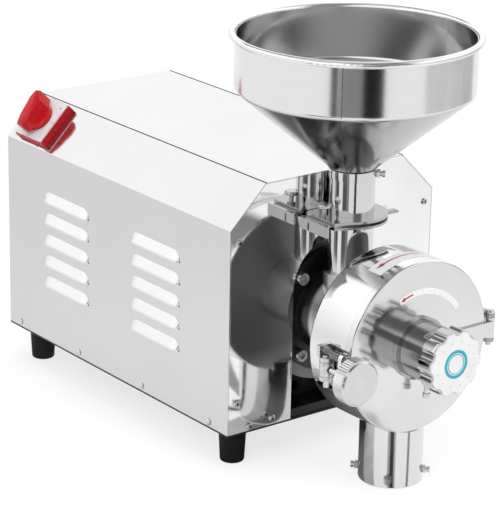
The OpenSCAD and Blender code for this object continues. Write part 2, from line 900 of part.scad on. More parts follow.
module upper_feed_tube() {
  hole_z = neck_z - 5;
  color(polished) mill() difference() {
    union() {
      feed_pipe(gate_top, neck_z);
      translate([0, tube_y, neck_z - collar_h]) difference() {
        cylinder(r = collar_r, h = collar_h);
        translate([0, 0, -1]) cylinder(r = tube_in, h = collar_h + 2);
      }
    }
    translate([0, tube_y, hole_z]) rotate([0, 90, 315]) cylinder(r = 2.7, h = 40);
  }
}

module hopper() {
  t = hopper_t;
  r0 = tube_r;
  rw = hopper_r;
  slope = atan2(hopper_cone_h, rw - r0);
  kc = [rw - knuckle, cone_z + knuckle * miter];
  spigot = 24;
  color(polished) mill() translate([0, tube_y, 0]) {
    rotate_extrude() polygon(concat(
      [[neck_in - t, neck_z - spigot], [neck_in, neck_z - spigot], [neck_in, neck_z + 0.3],
       [r0, neck_z + 0.3]],
      arc(kc, knuckle, slope - 90, 0),
      [[rw, rim_z], [rw - t, rim_z]],
      arc(kc, knuckle - t, 0, slope - 90),
      [[neck_in - t, neck_z + 2.6]]));
    translate([0, 0, rim_z]) rotate_extrude() translate([rw + rim_r - 0.9, 0])
      circle(r = rim_r, $fn = 32);
  }
}

module hopper_set_screw() {
  color(steel) mill() translate([0, tube_y, neck_z - 5]) rotate([0, 90, 315]) {
    translate([0, 0, tube_in + 0.1]) cylinder(r = 2.6, h = collar_r - tube_in + 8);
    translate([0, 0, collar_r + 0.3]) hex(4.6, 3.5);
    translate([0, 0, collar_r + 6]) cylinder(r = 3.6, h = 3);
  }
}

// ---- Burrs ---------------------------------------------------------------

// Furrows cut slantwise across a burr's face, in groups that repeat round it
module furrows(depth) {
  for (g = [0:furrow_groups - 1], k = [0:2]) rotate(g * 360 / furrow_groups)
    translate([0, burr_r * (0.32 + 0.17 * k), -1]) rotate(18)
      translate([burr_in - 16 + 9 * k, -1.3, 0]) cube([burr_r, 2.6, depth + 1]);
}

// Burr drawn with its grinding face on Z = 0 and its back on +Z
module burr() {
  difference() {
    cylinder(r = burr_r, h = burr_t);
    translate([0, 0, -1]) cylinder(r = burr_in, h = burr_t + 2);
    translate([0, 0, -1]) cylinder(r1 = burr_in + 8, r2 = burr_in, h = 4);
    furrows(2.2);
    for (i = [0:2]) rotate(i * 120 + 20) translate([burr_r - 12, 0, -1])
      cylinder(r = 2.8, h = burr_t + 2);
  }
}

module rotating_burr() {
  color("darkgray") mill() translate([0, burr_face_y, axis_z]) rotate([-90, 0, 0]) burr();
}

module fixed_burr() {
  color("darkgray") mill() translate([0, fixed_y, axis_z]) rotate([90, 0, 0]) burr();
}

module burr_spider() {
  arm_w = 9;
  hub = shaft_r + 4;
  color("gray") mill() forwards(spider_y) difference() {
    union() {
      difference() {
        cylinder(r = burr_r - 4, h = spider_t);
        translate([0, 0, -1]) cylinder(r = burr_in - 2, h = spider_t + 2);
      }
      cylinder(r = hub, h = spider_t);
      for (i = [0:2]) rotate(i * 120) translate([hub - 2, -arm_w / 2, 0])
        cube([burr_in - hub + 4, arm_w, spider_t]);
    }
    translate([0, 0, -1]) cylinder(r = shaft_r - 4 + 0.02, h = spider_t + 2);
    translate([0, 0, -1]) cylinder(r = shaft_r + 0.02, h = 2);
  }
}

module spider_nut() {
  y = spider_y - spider_t - 0.05;
  color(steel) mill() {
    forwards(y) difference() {
      hex(shaft_r + 2, 6);
      translate([0, 0, -1]) cylinder(r = shaft_r - 4 + 0.02, h = 9);
    }
    for (i = [0:2]) forwards(spider_y - spider_t) rotate(-(i * 120 + 20))
      translate([burr_r - 12, 0, 0]) cylinder(r = 2.7, h = burr_t - 3);
  }
}

pin_at = 45;

module burr_carrier() {
  back = carrier_y;
  front = back - carrier_t;
  color("gray") mill() {
    bar(burr_r - 4, back, front);
    bar(spindle_r, front + 1, spindle_y);
    for (s = [-1, 1]) bar(4, front + 1, rim_y - 4, s * pin_at);
  }
}

module carrier_screws() {
  color(steel) mill() for (i = [0:2]) forwards(fixed_y - 3) rotate(i * 120 + 20)
    translate([burr_r - 12, 0, 0]) cylinder(r = 2.7, h = burr_t - 3);
}

// ---- Lid -----------------------------------------------------------------

module lid() {
  edge = 2;
  color(polished) mill() difference() {
    union() {
      forwards(rim_y) rotate_extrude() polygon(concat([[0, 0], [drum_r, 0]],
        arc([drum_r - edge, lid_t - edge], edge, 0, 90), [[0, lid_t]]));
      ring(spigot_r, spigot_r - 4, rim_y + 3, rim_y - eps);
    }
    bar(spindle_r + 2, rim_y + 5, face_lid_y - 1);
    for (s = [-1, 1]) bar(4 + run, rim_y + 1, rim_y - 4.6 - burr_travel, s * pin_at);
  }
}

lock_y = face_lid_y - 15;
lock_r = 3;

module hub_tube() {
  color(steel) mill() difference() {
    union() {
      bar(ring_r, face_lid_y, face_lid_y - ring_t);
      bar(hub_r, face_lid_y - 1, hub_y);
      bar(spindle_r + 1.95, rim_y, face_lid_y - 1);
    }
    bar(spindle_r + run, rim_y + 1, hub_y - 1);
    bar(knob_boss_r + run, hub_y + knob_boss_l, hub_y - 1);
    translate([0, lock_y, axis_z - hub_r - 1]) cylinder(r = lock_r + 0.05, h = hub_r);
  }
}

module hub_lock_screw() {
  color(steel) mill() translate([0, lock_y, axis_z - spindle_r - 0.3]) rotate([180, 0, 0]) {
    cylinder(r = lock_r, h = hub_r - spindle_r + 15);
    translate([0, 0, hub_r - spindle_r + 14]) cylinder(r = 4, h = 4.5);
  }
}

// Outline of the star knob, drawn in by a given amount
module star_outline(inset = 0) {
  scallop = 7.5;
  centre = star_r - 3.2 + scallop;
  difference() {
    circle(r = star_r - inset);
    for (i = [0:star_n - 1]) rotate((i + 0.4) * 360 / star_n) translate([centre, 0])
      circle(r = scallop + inset);
  }
}

module star_knob() {
  color(steel) mill() difference() {
    union() {
      forwards(star_back) linear_extrude(star_l) star_outline();
      bar(knob_boss_r, hub_y + knob_boss_l - slip, star_back - 1);
    }
    bar(spindle_r + run, hub_y + 20, spindle_y - burr_travel - 2);
  }
}

module knob_cap() {
  color("white") mill() forwards(star_y) linear_extrude(cap_t) star_outline(cap_inset);
}

// ---- Hinge ---------------------------------------------------------------

module hinge_ears() {
  leg_y = rim_y + 3;
  color(dark) mill() difference() {
    for (z = [axis_z + barrel_h / 2 + slip, axis_z - barrel_h / 2 - slip - ear_t])
      translate([0, 0, z]) linear_extrude(ear_t) {
        translate([hinge_x, hinge_y]) circle(r = barrel_r);
        translate([hinge_x - 5, hinge_y]) square([5 + barrel_r, leg_y + 12 - hinge_y]);
        translate([drum_r - 8, leg_y]) square([hinge_x + barrel_r - drum_r + 8, 12]);
      }
    bar(drum_r, drum_y, rim_y);
    translate([hinge_x, hinge_y, 0]) cylinder(r = pin_r + run, h = axis_z * 2);
  }
}

module hinge_pin() {
  top = axis_z + barrel_h / 2 + slip + ear_t;
  low = axis_z - barrel_h / 2 - slip - ear_t - 4;
  color(steel) mill() translate([hinge_x, hinge_y, top]) {
    screw(5.2, 4.5, pin_r, top - low);
  }
}

module hinge_strap() {
  h = barrel_h - 6;
  start = drum_r * 0.62;
  color(polished) mill() difference() {
    union() {
      translate([hinge_x, hinge_y, axis_z - barrel_h / 2]) cylinder(r = barrel_r, h = barrel_h);
      translate([start, face_lid_y - strap_t, axis_z - h / 2])
        cube([hinge_x - start, strap_t, h]);
    }
    translate([hinge_x, hinge_y, axis_z - 20]) cylinder(r = pin_r + run, h = 40);
    bar(drum_r + 0.5, rim_y + 1, face_lid_y);
  }
}

// ---- Clamp ---------------------------------------------------------------

module clamp_bracket() {
  color(steel) mill() difference() {
    union() {
      for (z = [clamp_top - clamp_ear_t, clamp_low])
        translate([0, 0, z]) linear_extrude(clamp_ear_t) {
          translate([clamp_x, clamp_y]) circle(r = clamp_r);
          translate([clamp_x, clamp_y - clamp_r])
            square([-drum_r + 12 - clamp_x, 2 * clamp_r]);
        }
      translate([stop_x - 5, pad_y, clamp_top - 1]) cube([20, 5, stop_z + 5 - clamp_top + 1]);
    }
    bar(drum_r + 0.02, drum_y, rim_y);
    translate([clamp_x, clamp_y, 0]) cylinder(r = pin_r + run, h = axis_z * 2);
  }
}

// Upper and lower pivot screws, each ending inside the barrel
module clamp_pin() {
  grip = cage_h / 2 - rod_r - clamp_play - 0.8;
  color(steel) mill() translate([clamp_x, clamp_y, 0]) {
    translate([0, 0, clamp_top]) screw(4.8, 2.3, pin_r, clamp_ear_t + slip + grip);
    translate([0, 0, clamp_low - 8]) cylinder(r = pin_r, h = clamp_ear_t + slip + grip + 8);
  }
}

module clamp_barrel() {
  color(steel) mill() difference() {
    translate([clamp_x, clamp_y, clamp_z - cage_h / 2]) cylinder(r = clamp_r, h = cage_h);
    difference() {
      translate([clamp_x, clamp_y, clamp_z - 50]) cylinder(r = pin_r + run, h = 100);
      translate([clamp_x, clamp_y, clamp_z])
        cube([20, 20, 2 * (rod_r + clamp_play) + 1], center = true);
    }
    bar(rod_r + clamp_play, clamp_y + 20, clamp_y - 20, clamp_x, clamp_z);
  }
}

module clamp_lug() {
  hole = rod_r + run;
  eye_r = 11;
  horn_r = 6.5;
  color(polished) mill() difference() {
    slab(face_lid_y, lug_t) {
      translate([clamp_x, clamp_z]) circle(r = eye_r);
      translate([clamp_x, clamp_z - eye_r]) square([-clamp_x - drum_r * 0.74, 2 * eye_r]);
      translate([stop_x - horn_r, clamp_z]) square([2 * horn_r, stop_z - clamp_z]);
      translate([stop_x, stop_z]) circle(r = horn_r);
    }
    bar(hole, face_lid_y + 1, face_lid_y - lug_t - 1, clamp_x, clamp_z);
    bar(stop_r + 0.02, face_lid_y + 1, face_lid_y - lug_t - 1, stop_x, stop_z);
  }
}

module clamp_knob() {
  tip = clamp_y - clamp_r + clamp_reach;
  color(steel) mill() {
    forwards(hand_y, clamp_x, clamp_z) {
      linear_extrude(hand_l - 2) ribbed(hand_r, 0.5, hand_ribs);
      translate([0, 0, hand_l - 2]) cylinder(r1 = hand_r - 1.5, r2 = hand_r - 3, h = 2);
    }
    bar(9, face_lid_y - lug_t - slip, hand_y - 1, clamp_x, clamp_z);
    bar(rod_r, tip, hand_y - 1, clamp_x, clamp_z);
    bar(rod_r + 2.5, face_lid_y + 3.3, face_lid_y + slip, clamp_x, clamp_z);
  }
}

module stop_screw() {
  color(steel) mill() {
    bar(stop_r, pad_y - slip, face_lid_y - lug_t - 6, stop_x, stop_z);
    for (y = [face_lid_y + 4.2, face_lid_y - lug_t - 0.1]) forwards(y, stop_x, stop_z)
      difference() {
        hex(4.6, 4);
        translate([0, 0, -1]) cylinder(r = stop_r + 0.02, h = 9);
      }
  }
}

base_tray();
left_side_panel();
right_side_panel();
top_panel();
front_panel();
rear_panel();
rubber_feet();
foot_screws();
panel_screws();
cable_gland();
switch_frame();
switch_plate();
switch_knob();
switch_body();
motor_housing();
stator_core();
stator_windings();
motor_front_bell();
motor_rear_bell();
motor_bearings();
rotor();
drive_shaft();
cooling_fan();
fan_cover();
motor_cradle();
motor_bolts();
run_capacitors();
throat_housing();
shaft_seal();
auger();
drum();
outlet_spout();
spout_screws();
lower_feed_tube();
gate_housing();
gate_slide();
gate_thumb_screw();
upper_feed_tube();
hopper();
hopper_set_screw();
burr_spider();
rotating_burr();
spider_nut();
fixed_burr();
burr_carrier();
carrier_screws();
lid();
hub_tube();
hub_lock_screw();
star_knob();
knob_cap();
hinge_ears();
hinge_pin();
hinge_strap();
clamp_bracket();
clamp_pin();
clamp_barrel();
clamp_lug();
clamp_knob();
stop_screw();
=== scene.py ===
"""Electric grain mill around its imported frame: materials, pieces that follow the photo more
closely than the CAD, printed marks, studio and camera."""
import math

import bmesh
import bpy
from mathutils import Matrix, Vector


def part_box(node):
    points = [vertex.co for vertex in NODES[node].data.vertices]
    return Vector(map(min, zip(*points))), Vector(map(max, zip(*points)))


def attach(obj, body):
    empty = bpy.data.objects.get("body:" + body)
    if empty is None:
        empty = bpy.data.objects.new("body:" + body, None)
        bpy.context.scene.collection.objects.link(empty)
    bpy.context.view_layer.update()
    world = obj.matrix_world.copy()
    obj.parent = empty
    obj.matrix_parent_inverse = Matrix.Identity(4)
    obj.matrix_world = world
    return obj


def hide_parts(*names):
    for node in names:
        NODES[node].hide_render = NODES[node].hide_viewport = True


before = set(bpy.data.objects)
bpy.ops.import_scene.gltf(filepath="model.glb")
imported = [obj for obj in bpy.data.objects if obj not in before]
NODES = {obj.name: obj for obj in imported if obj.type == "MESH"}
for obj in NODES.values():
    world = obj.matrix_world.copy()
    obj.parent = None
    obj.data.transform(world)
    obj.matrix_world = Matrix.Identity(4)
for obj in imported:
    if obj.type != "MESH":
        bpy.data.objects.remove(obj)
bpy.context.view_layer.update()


# ---- Places taken from the frame -------------------------------------------

def middle(node):
    """Centre of a CAD node's box."""
    low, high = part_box(node)
    return (low + high) / 2


BENCH_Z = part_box("rubber_feet")[0].z
SHAFT_Z = middle("drum").z
DRUM_R = (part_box("drum")[1].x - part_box("drum")[0].x) / 2
LID_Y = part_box("lid")[0].y
TUBE = middle("upper_feed_tube")
FRONT_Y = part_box("front_panel")[0].y
HOPPER_WALL = 0.0591        # height of the hopper's upright wall with its rim
CONE_TOP_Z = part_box("hopper")[1].z - HOPPER_WALL
HEAD = (0, 0, SHAFT_Z)
HOPPER_AXIS = (TUBE.x, TUBE.y, 0)
SPOUT_AXIS = (0, 0, 0)


# ---- Node helpers, for materials and the world -----------------------------

def feed(tree, socket, value):
    """Sets a socket to a number or colour, or links another node's output to it."""
    if isinstance(value, bpy.types.NodeSocket):
        tree.links.new(value, socket)
    else:
        socket.default_value = value


def math_node(tree, operation, first, second):
    made = tree.nodes.new("ShaderNodeMath")
    made.operation = operation
    feed(tree, made.inputs[0], first)
    feed(tree, made.inputs[1], second)
    return made.outputs[0]


def mixed(tree, kind, factor, first, second):
    """First where the factor is 0 and second where it is 1; kind is FLOAT or RGBA."""
    made = tree.nodes.new("ShaderNodeMix")
    made.data_type = kind
    feed(tree, made.inputs["Factor"], factor)
    feed(tree, made.inputs["A"], first)
    feed(tree, made.inputs["B"], second)
    return made.outputs["Result"]


def ranged(tree, value, low, high, from_min, from_max):
    """Maps from_min..from_max onto low..high and clamps the rest."""
    made = tree.nodes.new("ShaderNodeMapRange")
    for key, number in (("From Min", from_min), ("From Max", from_max),
                        ("To Min", low), ("To Max", high)):
        made.inputs[key].default_value = number
    tree.links.new(value, made.inputs["Value"])
    return made.outputs["Result"]


def xyz(tree, vector):
    """Outputs X, Y and Z of a vector."""
    made = tree.nodes.new("ShaderNodeSeparateXYZ")
    tree.links.new(vector, made.inputs[0])
    return made.outputs


def grey(tone):
    return (tone, tone, tone)


def shaded(color, factor):
    return [c * factor for c in color]


class Mat:
    """A node material on one Principled shader, with short calls for the nodes it needs.
    Texture scales are counts per metre, depths of relief are metres."""

    def __init__(self, name, color, metallic, roughness, **sockets):
        self.mat = bpy.data.materials.new(name)
        self.mat.use_nodes = True
        self.tree = self.mat.node_tree
        self.bsdf = self.tree.nodes["Principled BSDF"]
        self.set("Base Color", (*color, 1.0))
        self.set("Metallic", metallic)
        self.set("Roughness", roughness)
        for key, value in sockets.items():
            self.set(key.replace("_", " "), value)

    def set(self, socket, value):
        feed(self.tree, self.bsdf.inputs[socket], value)

    def node(self, kind, **props):
        made = self.tree.nodes.new(kind)
        for key, value in props.items():
            setattr(made, key, value)
        return made

    def link(self, out, into):
        self.tree.links.new(out, into)

    def place(self):
        """Object coordinates in metres."""
        return self.node("ShaderNodeTexCoord").outputs["Object"]

    def coords(self, scale):
        """Object coordinates stretched by a scale for each axis."""
        mapping = self.node("ShaderNodeMapping", vector_type="POINT")
        mapping.inputs["Scale"].default_value = scale
        self.link(self.place(), mapping.inputs["Vector"])
        return mapping.outputs["Vector"]

    def turned(self, axis, centre, ring_scale, along_scale):
        """Coordinates that are constant round an axis, so a texture on them runs in rings."""
        move = self.node("ShaderNodeVectorMath", operation="SUBTRACT")
        move.inputs[1].default_value = centre
        self.link(self.place(), move.inputs[0])
        parts = xyz(self.tree, move.outputs[0])
        flat = self.node("ShaderNodeCombineXYZ")
        for socket, other in zip(flat.inputs, [a for a in "XYZ" if a != axis]):
            self.link(parts[other], socket)
        radius = self.node("ShaderNodeVectorMath", operation="LENGTH")
        self.link(flat.outputs[0], radius.inputs[0])
        out = self.node("ShaderNodeCombineXYZ")
        self.link(math_node(self.tree, "MULTIPLY", radius.outputs["Value"], ring_scale),
                  out.inputs[0])
        self.link(math_node(self.tree, "MULTIPLY", parts[axis], along_scale), out.inputs[1])
        return out.outputs[0]

    def noise(self, vector, detail=3.0, rough=0.55):
        made = self.node("ShaderNodeTexNoise")
        made.inputs["Scale"].default_value = 1.0
        made.inputs["Detail"].default_value = detail
        made.inputs["Roughness"].default_value = rough
        self.link(vector, made.inputs["Vector"])
        return made.outputs["Fac"]

    def spots(self, scale, detail=3.0):
        """Noise that is the same in all directions."""
        return self.noise(self.coords([scale] * 3), detail)

    def rings(self, axis, centre, scale, detail=4.0, rough=0.7):
        """Noise in rings round an axis."""
        return self.noise(self.turned(axis, centre, scale, scale), detail, rough)

    def past(self, axis, start, stop):
        """0 before start and 1 after stop along an axis of the object."""
        return self.ramp(xyz(self.tree, self.place())[axis], 0, 1, start, stop)

    def ramp(self, fac, low, high, from_min=0.3, from_max=0.7):
        """Maps a texture's value onto low..high."""
        return ranged(self.tree, fac, low, high, from_min, from_max)

    def blend(self, fac, dark, light):
        """Mixes two colours by a texture."""
        return mixed(self.tree, "RGBA", fac, (*dark, 1.0), (*light, 1.0))

    def roughness(self, fac, low, high):
        self.set("Roughness", self.ramp(fac, low, high))

    def color(self, fac, dark, light):
        self.set("Base Color", self.blend(self.ramp(fac, 0, 1), dark, light))

    def relief(self, heights, edge=0.0):
        """Bumps from (height output, depth) pairs, over edges softened by a radius."""
        normal = None
        if edge:
            soft = self.node("ShaderNodeBevel", samples=4)
            soft.inputs["Radius"].default_value = edge
            normal = soft.outputs["Normal"]
        for height, depth in heights:
            bump = self.node("ShaderNodeBump")
            bump.inputs["Distance"].default_value = depth
            self.link(height, bump.inputs["Height"])
            if normal:
                self.link(normal, bump.inputs["Normal"])
            normal = bump.outputs["Normal"]
        self.set("Normal", normal)

    def gloss_round(self, axis):
        """Lets the anisotropic gloss run round an axis."""
        tangent = self.node("ShaderNodeTangent", direction_type="RADIAL", axis=axis)
        self.set("Tangent", tangent.outputs[0])


# ---- Materials -------------------------------------------------------------

POLISH_DEPTH = 0.000002     # depth of polishing and rolling lines
WAVE_BAND = 0.314           # length of one band of the wave texture at scale 1


def sheet_steel(name, grain, tone, low=0.05, high=0.11):
    """Bright rolled sheet with fine lines along one axis and a faint waviness."""
    m = Mat(name, (tone, tone, tone * 1.005), 1.0, 0.1)
    lines = m.noise(m.coords([4 if axis == grain else 900 for axis in "XYZ"]), 4.0, 0.6)
    m.roughness(lines, low, high)
    m.color(m.spots(9), grey(tone * 0.98), grey(tone * 1.02))
    m.relief([(m.spots(5, 1.0), 0.0002), (lines, POLISH_DEPTH)], 0.0005)
    return m.mat


def polished(name, tone, centre=None, axis="Y", low=0.03, high=0.08, wave=0.0005):
    """Mirror polish with a hint of the buffing rings."""
    m = Mat(name, (tone, tone, tone * 1.005), 1.0, 0.06)
    marks = m.spots(300, 4.0) if centre is None else m.rings(axis, centre, 700)
    m.roughness(marks, low, high)
    m.color(m.spots(14), grey(tone * 0.96), grey(tone * 1.03))
    waviness = [(m.spots(7, 1.0), wave)] if wave else []
    m.relief(waviness + [(marks, POLISH_DEPTH)], 0.0004)
    return m.mat


def turned_steel(name, centre, tone, low, high, scale=900, deep=0.000008):
    """Lathe-turned metal, with fine rings round an axis along Y."""
    m = Mat(name, grey(tone), 1.0, 0.25, Anisotropic=0.5)
    marks = m.rings("Y", centre, scale)
    m.roughness(marks, low, high)
    m.color(m.rings("Y", centre, 60, 2.0, 0.55), grey(tone * 0.9), grey(tone * 1.04))
    m.relief([(marks, deep)], 0.0004)
    m.gloss_round("Y")
    return m.mat


def spun_hopper(name, wall_tone, cone_tone):
    """Spun sheet: a bright wall over a darker cone."""
    m = Mat(name, grey(wall_tone), 1.0, 0.25, Anisotropic=0.6)
    marks = m.rings("Z", HOPPER_AXIS, 650)
    m.roughness(marks, 0.11, 0.16)
    wall = m.past("Z", CONE_TOP_Z - 0.002, CONE_TOP_Z + 0.002)
    scaled = m.node("ShaderNodeVectorMath", operation="SCALE")
    m.link(m.blend(wall, grey(cone_tone), grey(wall_tone)), scaled.inputs[0])
    m.link(m.ramp(m.rings("Z", HOPPER_AXIS, 500, 3.0, 0.55), 0.98, 1.01), scaled.inputs["Scale"])
    m.set("Base Color", scaled.outputs[0])
    m.relief([(marks, 0.0000003)], 0.0004)
    m.gloss_round("Z")
    return m.mat


def drum_steel(name, tone):
    """Polished shell with a duller, turned rear wall whose colour is lighter near its lower edge: a
    painted reflection of the bright floor.
    """
    m = Mat(name, grey(tone), 1.0, 0.06)
    marks = m.rings("Y", HEAD, 700)
    rear = m.past("Y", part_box("drum")[1].y - 0.0014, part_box("drum")[1].y - 0.0009)
    shell_tone = m.blend(m.ramp(m.spots(14), 0, 1), grey(tone * 0.96), grey(tone * 1.03))
    # painted reflection: the rear wall's colour goes from dark above to light near its lower edge,
    # for the bright floor it mirrors
    painted_sheen_mask = m.past("Z", SHAFT_Z - 0.06, SHAFT_Z - 0.092)
    rear_painted_sheen = m.blend(painted_sheen_mask, grey(0.25), grey(0.62))
    m.set("Base Color", mixed(m.tree, "RGBA", rear, shell_tone, rear_painted_sheen))
    m.set("Metallic", m.ramp(rear, 1.0, 0.5, 0, 1))
    m.set("Roughness", math_node(m.tree, "ADD", m.ramp(marks, 0.03, 0.08),
                                 m.ramp(rear, 0.0, 0.35, 0, 1)))
    m.relief([(m.spots(7, 1.0), 0.0005), (marks, POLISH_DEPTH)], 0.0004)
    return m.mat


def throat_steel(name, tone, flange_shade_tone):
    """Machined neck in front of a cast flange and boss coloured near black: painted shade for the
    dark they mirror behind the panel.
    """
    m = Mat(name, grey(tone), 0.9, 0.3)
    slow = m.spots(22, 2.0)
    m.roughness(slow, 0.24, 0.36)
    flange = m.past("Y", FRONT_Y - 0.018, FRONT_Y - 0.016)
    neck_tone = m.blend(m.ramp(slow, 0, 1), grey(tone * 0.85), grey(tone * 1.1))
    # painted shade: the flange and boss take a near-black colour in place of the dark surroundings
    # they would mirror
    m.set("Base Color", mixed(m.tree, "RGBA", flange, neck_tone, (*grey(flange_shade_tone), 1)))
    m.relief([(m.spots(350, 4.0), 0.00004)], 0.001)
    return m.mat


def bright_screw(name="screw_steel", tone=0.62, pitch=0.0):
    """Turned and plated steel; a pitch in metres adds the thread's ridges along Y."""
    m = Mat(name, grey(tone), 1.0, 0.22)
    m.roughness(m.spots(600), 0.14, 0.3)
    m.color(m.spots(180, 2.0), grey(tone * 0.85), grey(tone * 1.06))
    heights = [(m.spots(500, 2.0), 0.00001)]
    if pitch:
        ridges = m.node("ShaderNodeTexWave", wave_type="BANDS", bands_direction="Y")
        ridges.inputs["Scale"].default_value = 1.0
        m.link(m.coords([WAVE_BAND / pitch] * 3), ridges.inputs["Vector"])
        heights.append((ridges.outputs["Fac"], 0.0006))
    m.relief(heights, 0.0003)
    return m.mat


def cast_paint(name, color, low=0.3, high=0.5, pit_scale=350, pit_depth=0.00012):
    """Painted or bare casting: small pits and a slow unevenness."""
    m = Mat(name, color, 0.35, 0.4)
    slow = m.spots(22, 2.0)
    m.roughness(slow, low, high)
    m.color(slow, shaded(color, 0.8), shaded(color, 1.25))
    m.relief([(m.spots(pit_scale, 4.0), pit_depth)], 0.001)
    return m.mat


def plastic(name, color, roughness):
    """Moulded plastic with a fine grain."""
    m = Mat(name, color, 0.0, roughness, Specular_IOR_Level=0.35)
    m.roughness(m.spots(60, 2.0), roughness * 0.85, roughness * 1.2)
    m.color(m.spots(40, 2.0), shaded(color, 0.92), color)
    m.relief([(m.spots(1400, 2.0), 0.00001)], 0.0006)
    return m.mat


def rubber(name, color):
    """Dull, slightly porous rubber."""
    m = Mat(name, color, 0.0, 0.62, Specular_IOR_Level=0.2)
    m.roughness(m.spots(90), 0.5, 0.72)
    m.color(m.spots(70), shaded(color, 0.7), shaded(color, 1.5))
    m.relief([(m.spots(900), 0.00004)], 0.0008)
    return m.mat


def ground_iron(name, tone=0.4):
    """Cast burr faces: ground lands, dull furrows."""
    m = Mat(name, (tone, tone * 0.98, tone * 0.95), 1.0, 0.4)
    lands = m.spots(260, 4.0)
    m.roughness(lands, 0.32, 0.5)
    m.color(m.spots(40), grey(tone * 0.75), grey(tone * 1.15))
    m.relief([(lands, 0.00005)], 0.0004)
    return m.mat


def copper_wire(name):
    """Wound enamelled wire, in rings round the shaft."""
    m = Mat(name, (0.72, 0.36, 0.16), 1.0, 0.35)
    wires = m.noise(m.turned("Y", HEAD, 900, 60), 2.0)
    m.roughness(wires, 0.25, 0.45)
    m.color(wires, (0.5, 0.22, 0.1), (0.85, 0.45, 0.22))
    m.relief([(wires, 0.0004)])
    return m.mat


def print_ink(name, color, roughness=0.45):
    """Printed or foil mark: one ink with a slight mottle."""
    m = Mat(name, color, 0.0, roughness, Specular_IOR_Level=0.3)
    mottle = m.spots(400, 2.0)
    m.roughness(mottle, roughness * 0.85, roughness * 1.15)
    m.color(mottle, shaded(color, 0.9), color)
    m.relief([(mottle, 0.000005)])
    return m.mat


def wear(nodes, material):
    """Gives CAD nodes a material in every slot."""
    for name in nodes:
        obj = NODES[name]
        obj.data.materials.clear()
        obj.data.materials.append(material)


wear(["left_side_panel", "right_side_panel"], sheet_steel("side_sheet", "Y", 0.63))
# painted highlight: the side panels' sheet made lighter for the hoods, whose slopes catch the light
# from above
HOOD_LIT_STEEL = sheet_steel("louvre_painted_highlight", "Y", 0.78)
wear(["top_panel"], sheet_steel("roof_sheet", "Y", 0.68, 0.045, 0.085))
wear(["rear_panel"], sheet_steel("rear_sheet", "X", 0.64))
wear(["front_panel"], polished("front_mirror", 0.85, wave=0.0009))
wear(["drum"], drum_steel("drum_mirror", 0.74))
wear(["lid"], polished("lid_satin", 0.7, HEAD, low=0.08, high=0.16, wave=0.0002))
wear(["hinge_strap", "clamp_lug"], polished("lug_steel", 0.68, HEAD, wave=0.0002))
wear(["outlet_spout"], polished("spout_mirror", 0.72, SPOUT_AXIS, "Z", 0.07, 0.14))
wear(["lower_feed_tube", "upper_feed_tube"],
     polished("tube_mirror", 0.66, HOPPER_AXIS, "Z", 0.05, 0.11))
wear(["gate_housing", "gate_slide"], polished("gate_mirror", 0.42, low=0.06, high=0.14))
wear(["hopper"], spun_hopper("spun_hopper", 0.78, 0.42))
wear(["hub_tube"], turned_steel("turned_hub", HEAD, 0.4, 0.07, 0.16, deep=0.000003))
wear(["star_knob"], polished("star_chrome", 0.66, HEAD, wave=0))
wear(["clamp_knob"], turned_steel("turned_hand_knob", middle("clamp_knob"), 0.66, 0.1, 0.24, 1200))
wear(["stop_screw"], bright_screw("threaded_steel", 0.5, 0.0008))
wear(["clamp_bracket", "clamp_barrel", "clamp_pin", "hinge_pin", "panel_screws",
      "foot_screws", "hopper_set_screw", "spout_screws", "gate_thumb_screw", "hub_lock_screw"],
     bright_screw())
wear(["hinge_ears"], bright_screw("ear_steel", 0.4))
wear(["throat_housing"], throat_steel("head_casting", 0.6, 0.06))
wear(["base_tray"], cast_paint("tray_paint", (0.012, 0.012, 0.013), 0.3, 0.45, 900, 0.00003))
wear(["fan_cover", "motor_cradle"], cast_paint("frame_paint", (0.03, 0.03, 0.032)))
wear(["motor_housing", "motor_front_bell", "motor_rear_bell"],
     cast_paint("motor_casting", (0.22, 0.23, 0.24)))
wear(["stator_core", "rotor"], ground_iron("laminations", 0.3))
wear(["stator_windings"], copper_wire("winding_wire"))
wear(["motor_bearings", "drive_shaft", "motor_bolts", "auger", "burr_spider", "spider_nut",
      "burr_carrier", "carrier_screws"], turned_steel("shaft_steel", HEAD, 0.55, 0.2, 0.35))
wear(["rotating_burr", "fixed_burr"], ground_iron("burr_iron"))
wear(["rubber_feet"], rubber("foot_rubber", (0.006, 0.006, 0.006)))
wear(["shaft_seal"], rubber("seal_rubber", (0.1, 0.04, 0.02)))
wear(["cable_gland", "cooling_fan"], plastic("black_nylon", (0.01, 0.01, 0.01), 0.45))
wear(["switch_frame", "switch_knob"], plastic("switch_red", (0.56, 0.005, 0.012), 0.24))
wear(["switch_plate"], plastic("switch_white", (0.8, 0.8, 0.81), 0.3))
wear(["run_capacitors"], plastic("capacitor_white", (0.7, 0.7, 0.69), 0.4))
wear(["switch_body"], plastic("switch_grey", (0.3, 0.3, 0.31), 0.45))
wear(["knob_cap"], plastic("cap_white", (0.86, 0.86, 0.87), 0.35))

RED_INK = print_ink("red_ink", (0.52, 0.03, 0.045))
PALE_FOIL = print_ink("pale_foil", (0.97, 0.98, 0.98), 0.3)
CYAN_INK = print_ink("cyan_ink", (0.03, 0.42, 0.52))
DARK_INK = print_ink("dark_ink", (0.02, 0.02, 0.02))
GREY_INK = print_ink("grey_ink", (0.4, 0.4, 0.4))
# painted shadow: near-black for a strip laid in the roof's side gaps, which hold only shade
SEAM_SHADOW_PAINT = cast_paint("seam_shadow", (0.03, 0.03, 0.03), 0.5, 0.7)
# painted shade: near-black for the insides of screw recesses and louvre slit ends, which hold only
# shade
RECESS_SHADE = cast_paint("recess_painted_shade", (0.04, 0.04, 0.042), 0.4, 0.6)


# ---- Mesh helpers ----------------------------------------------------------

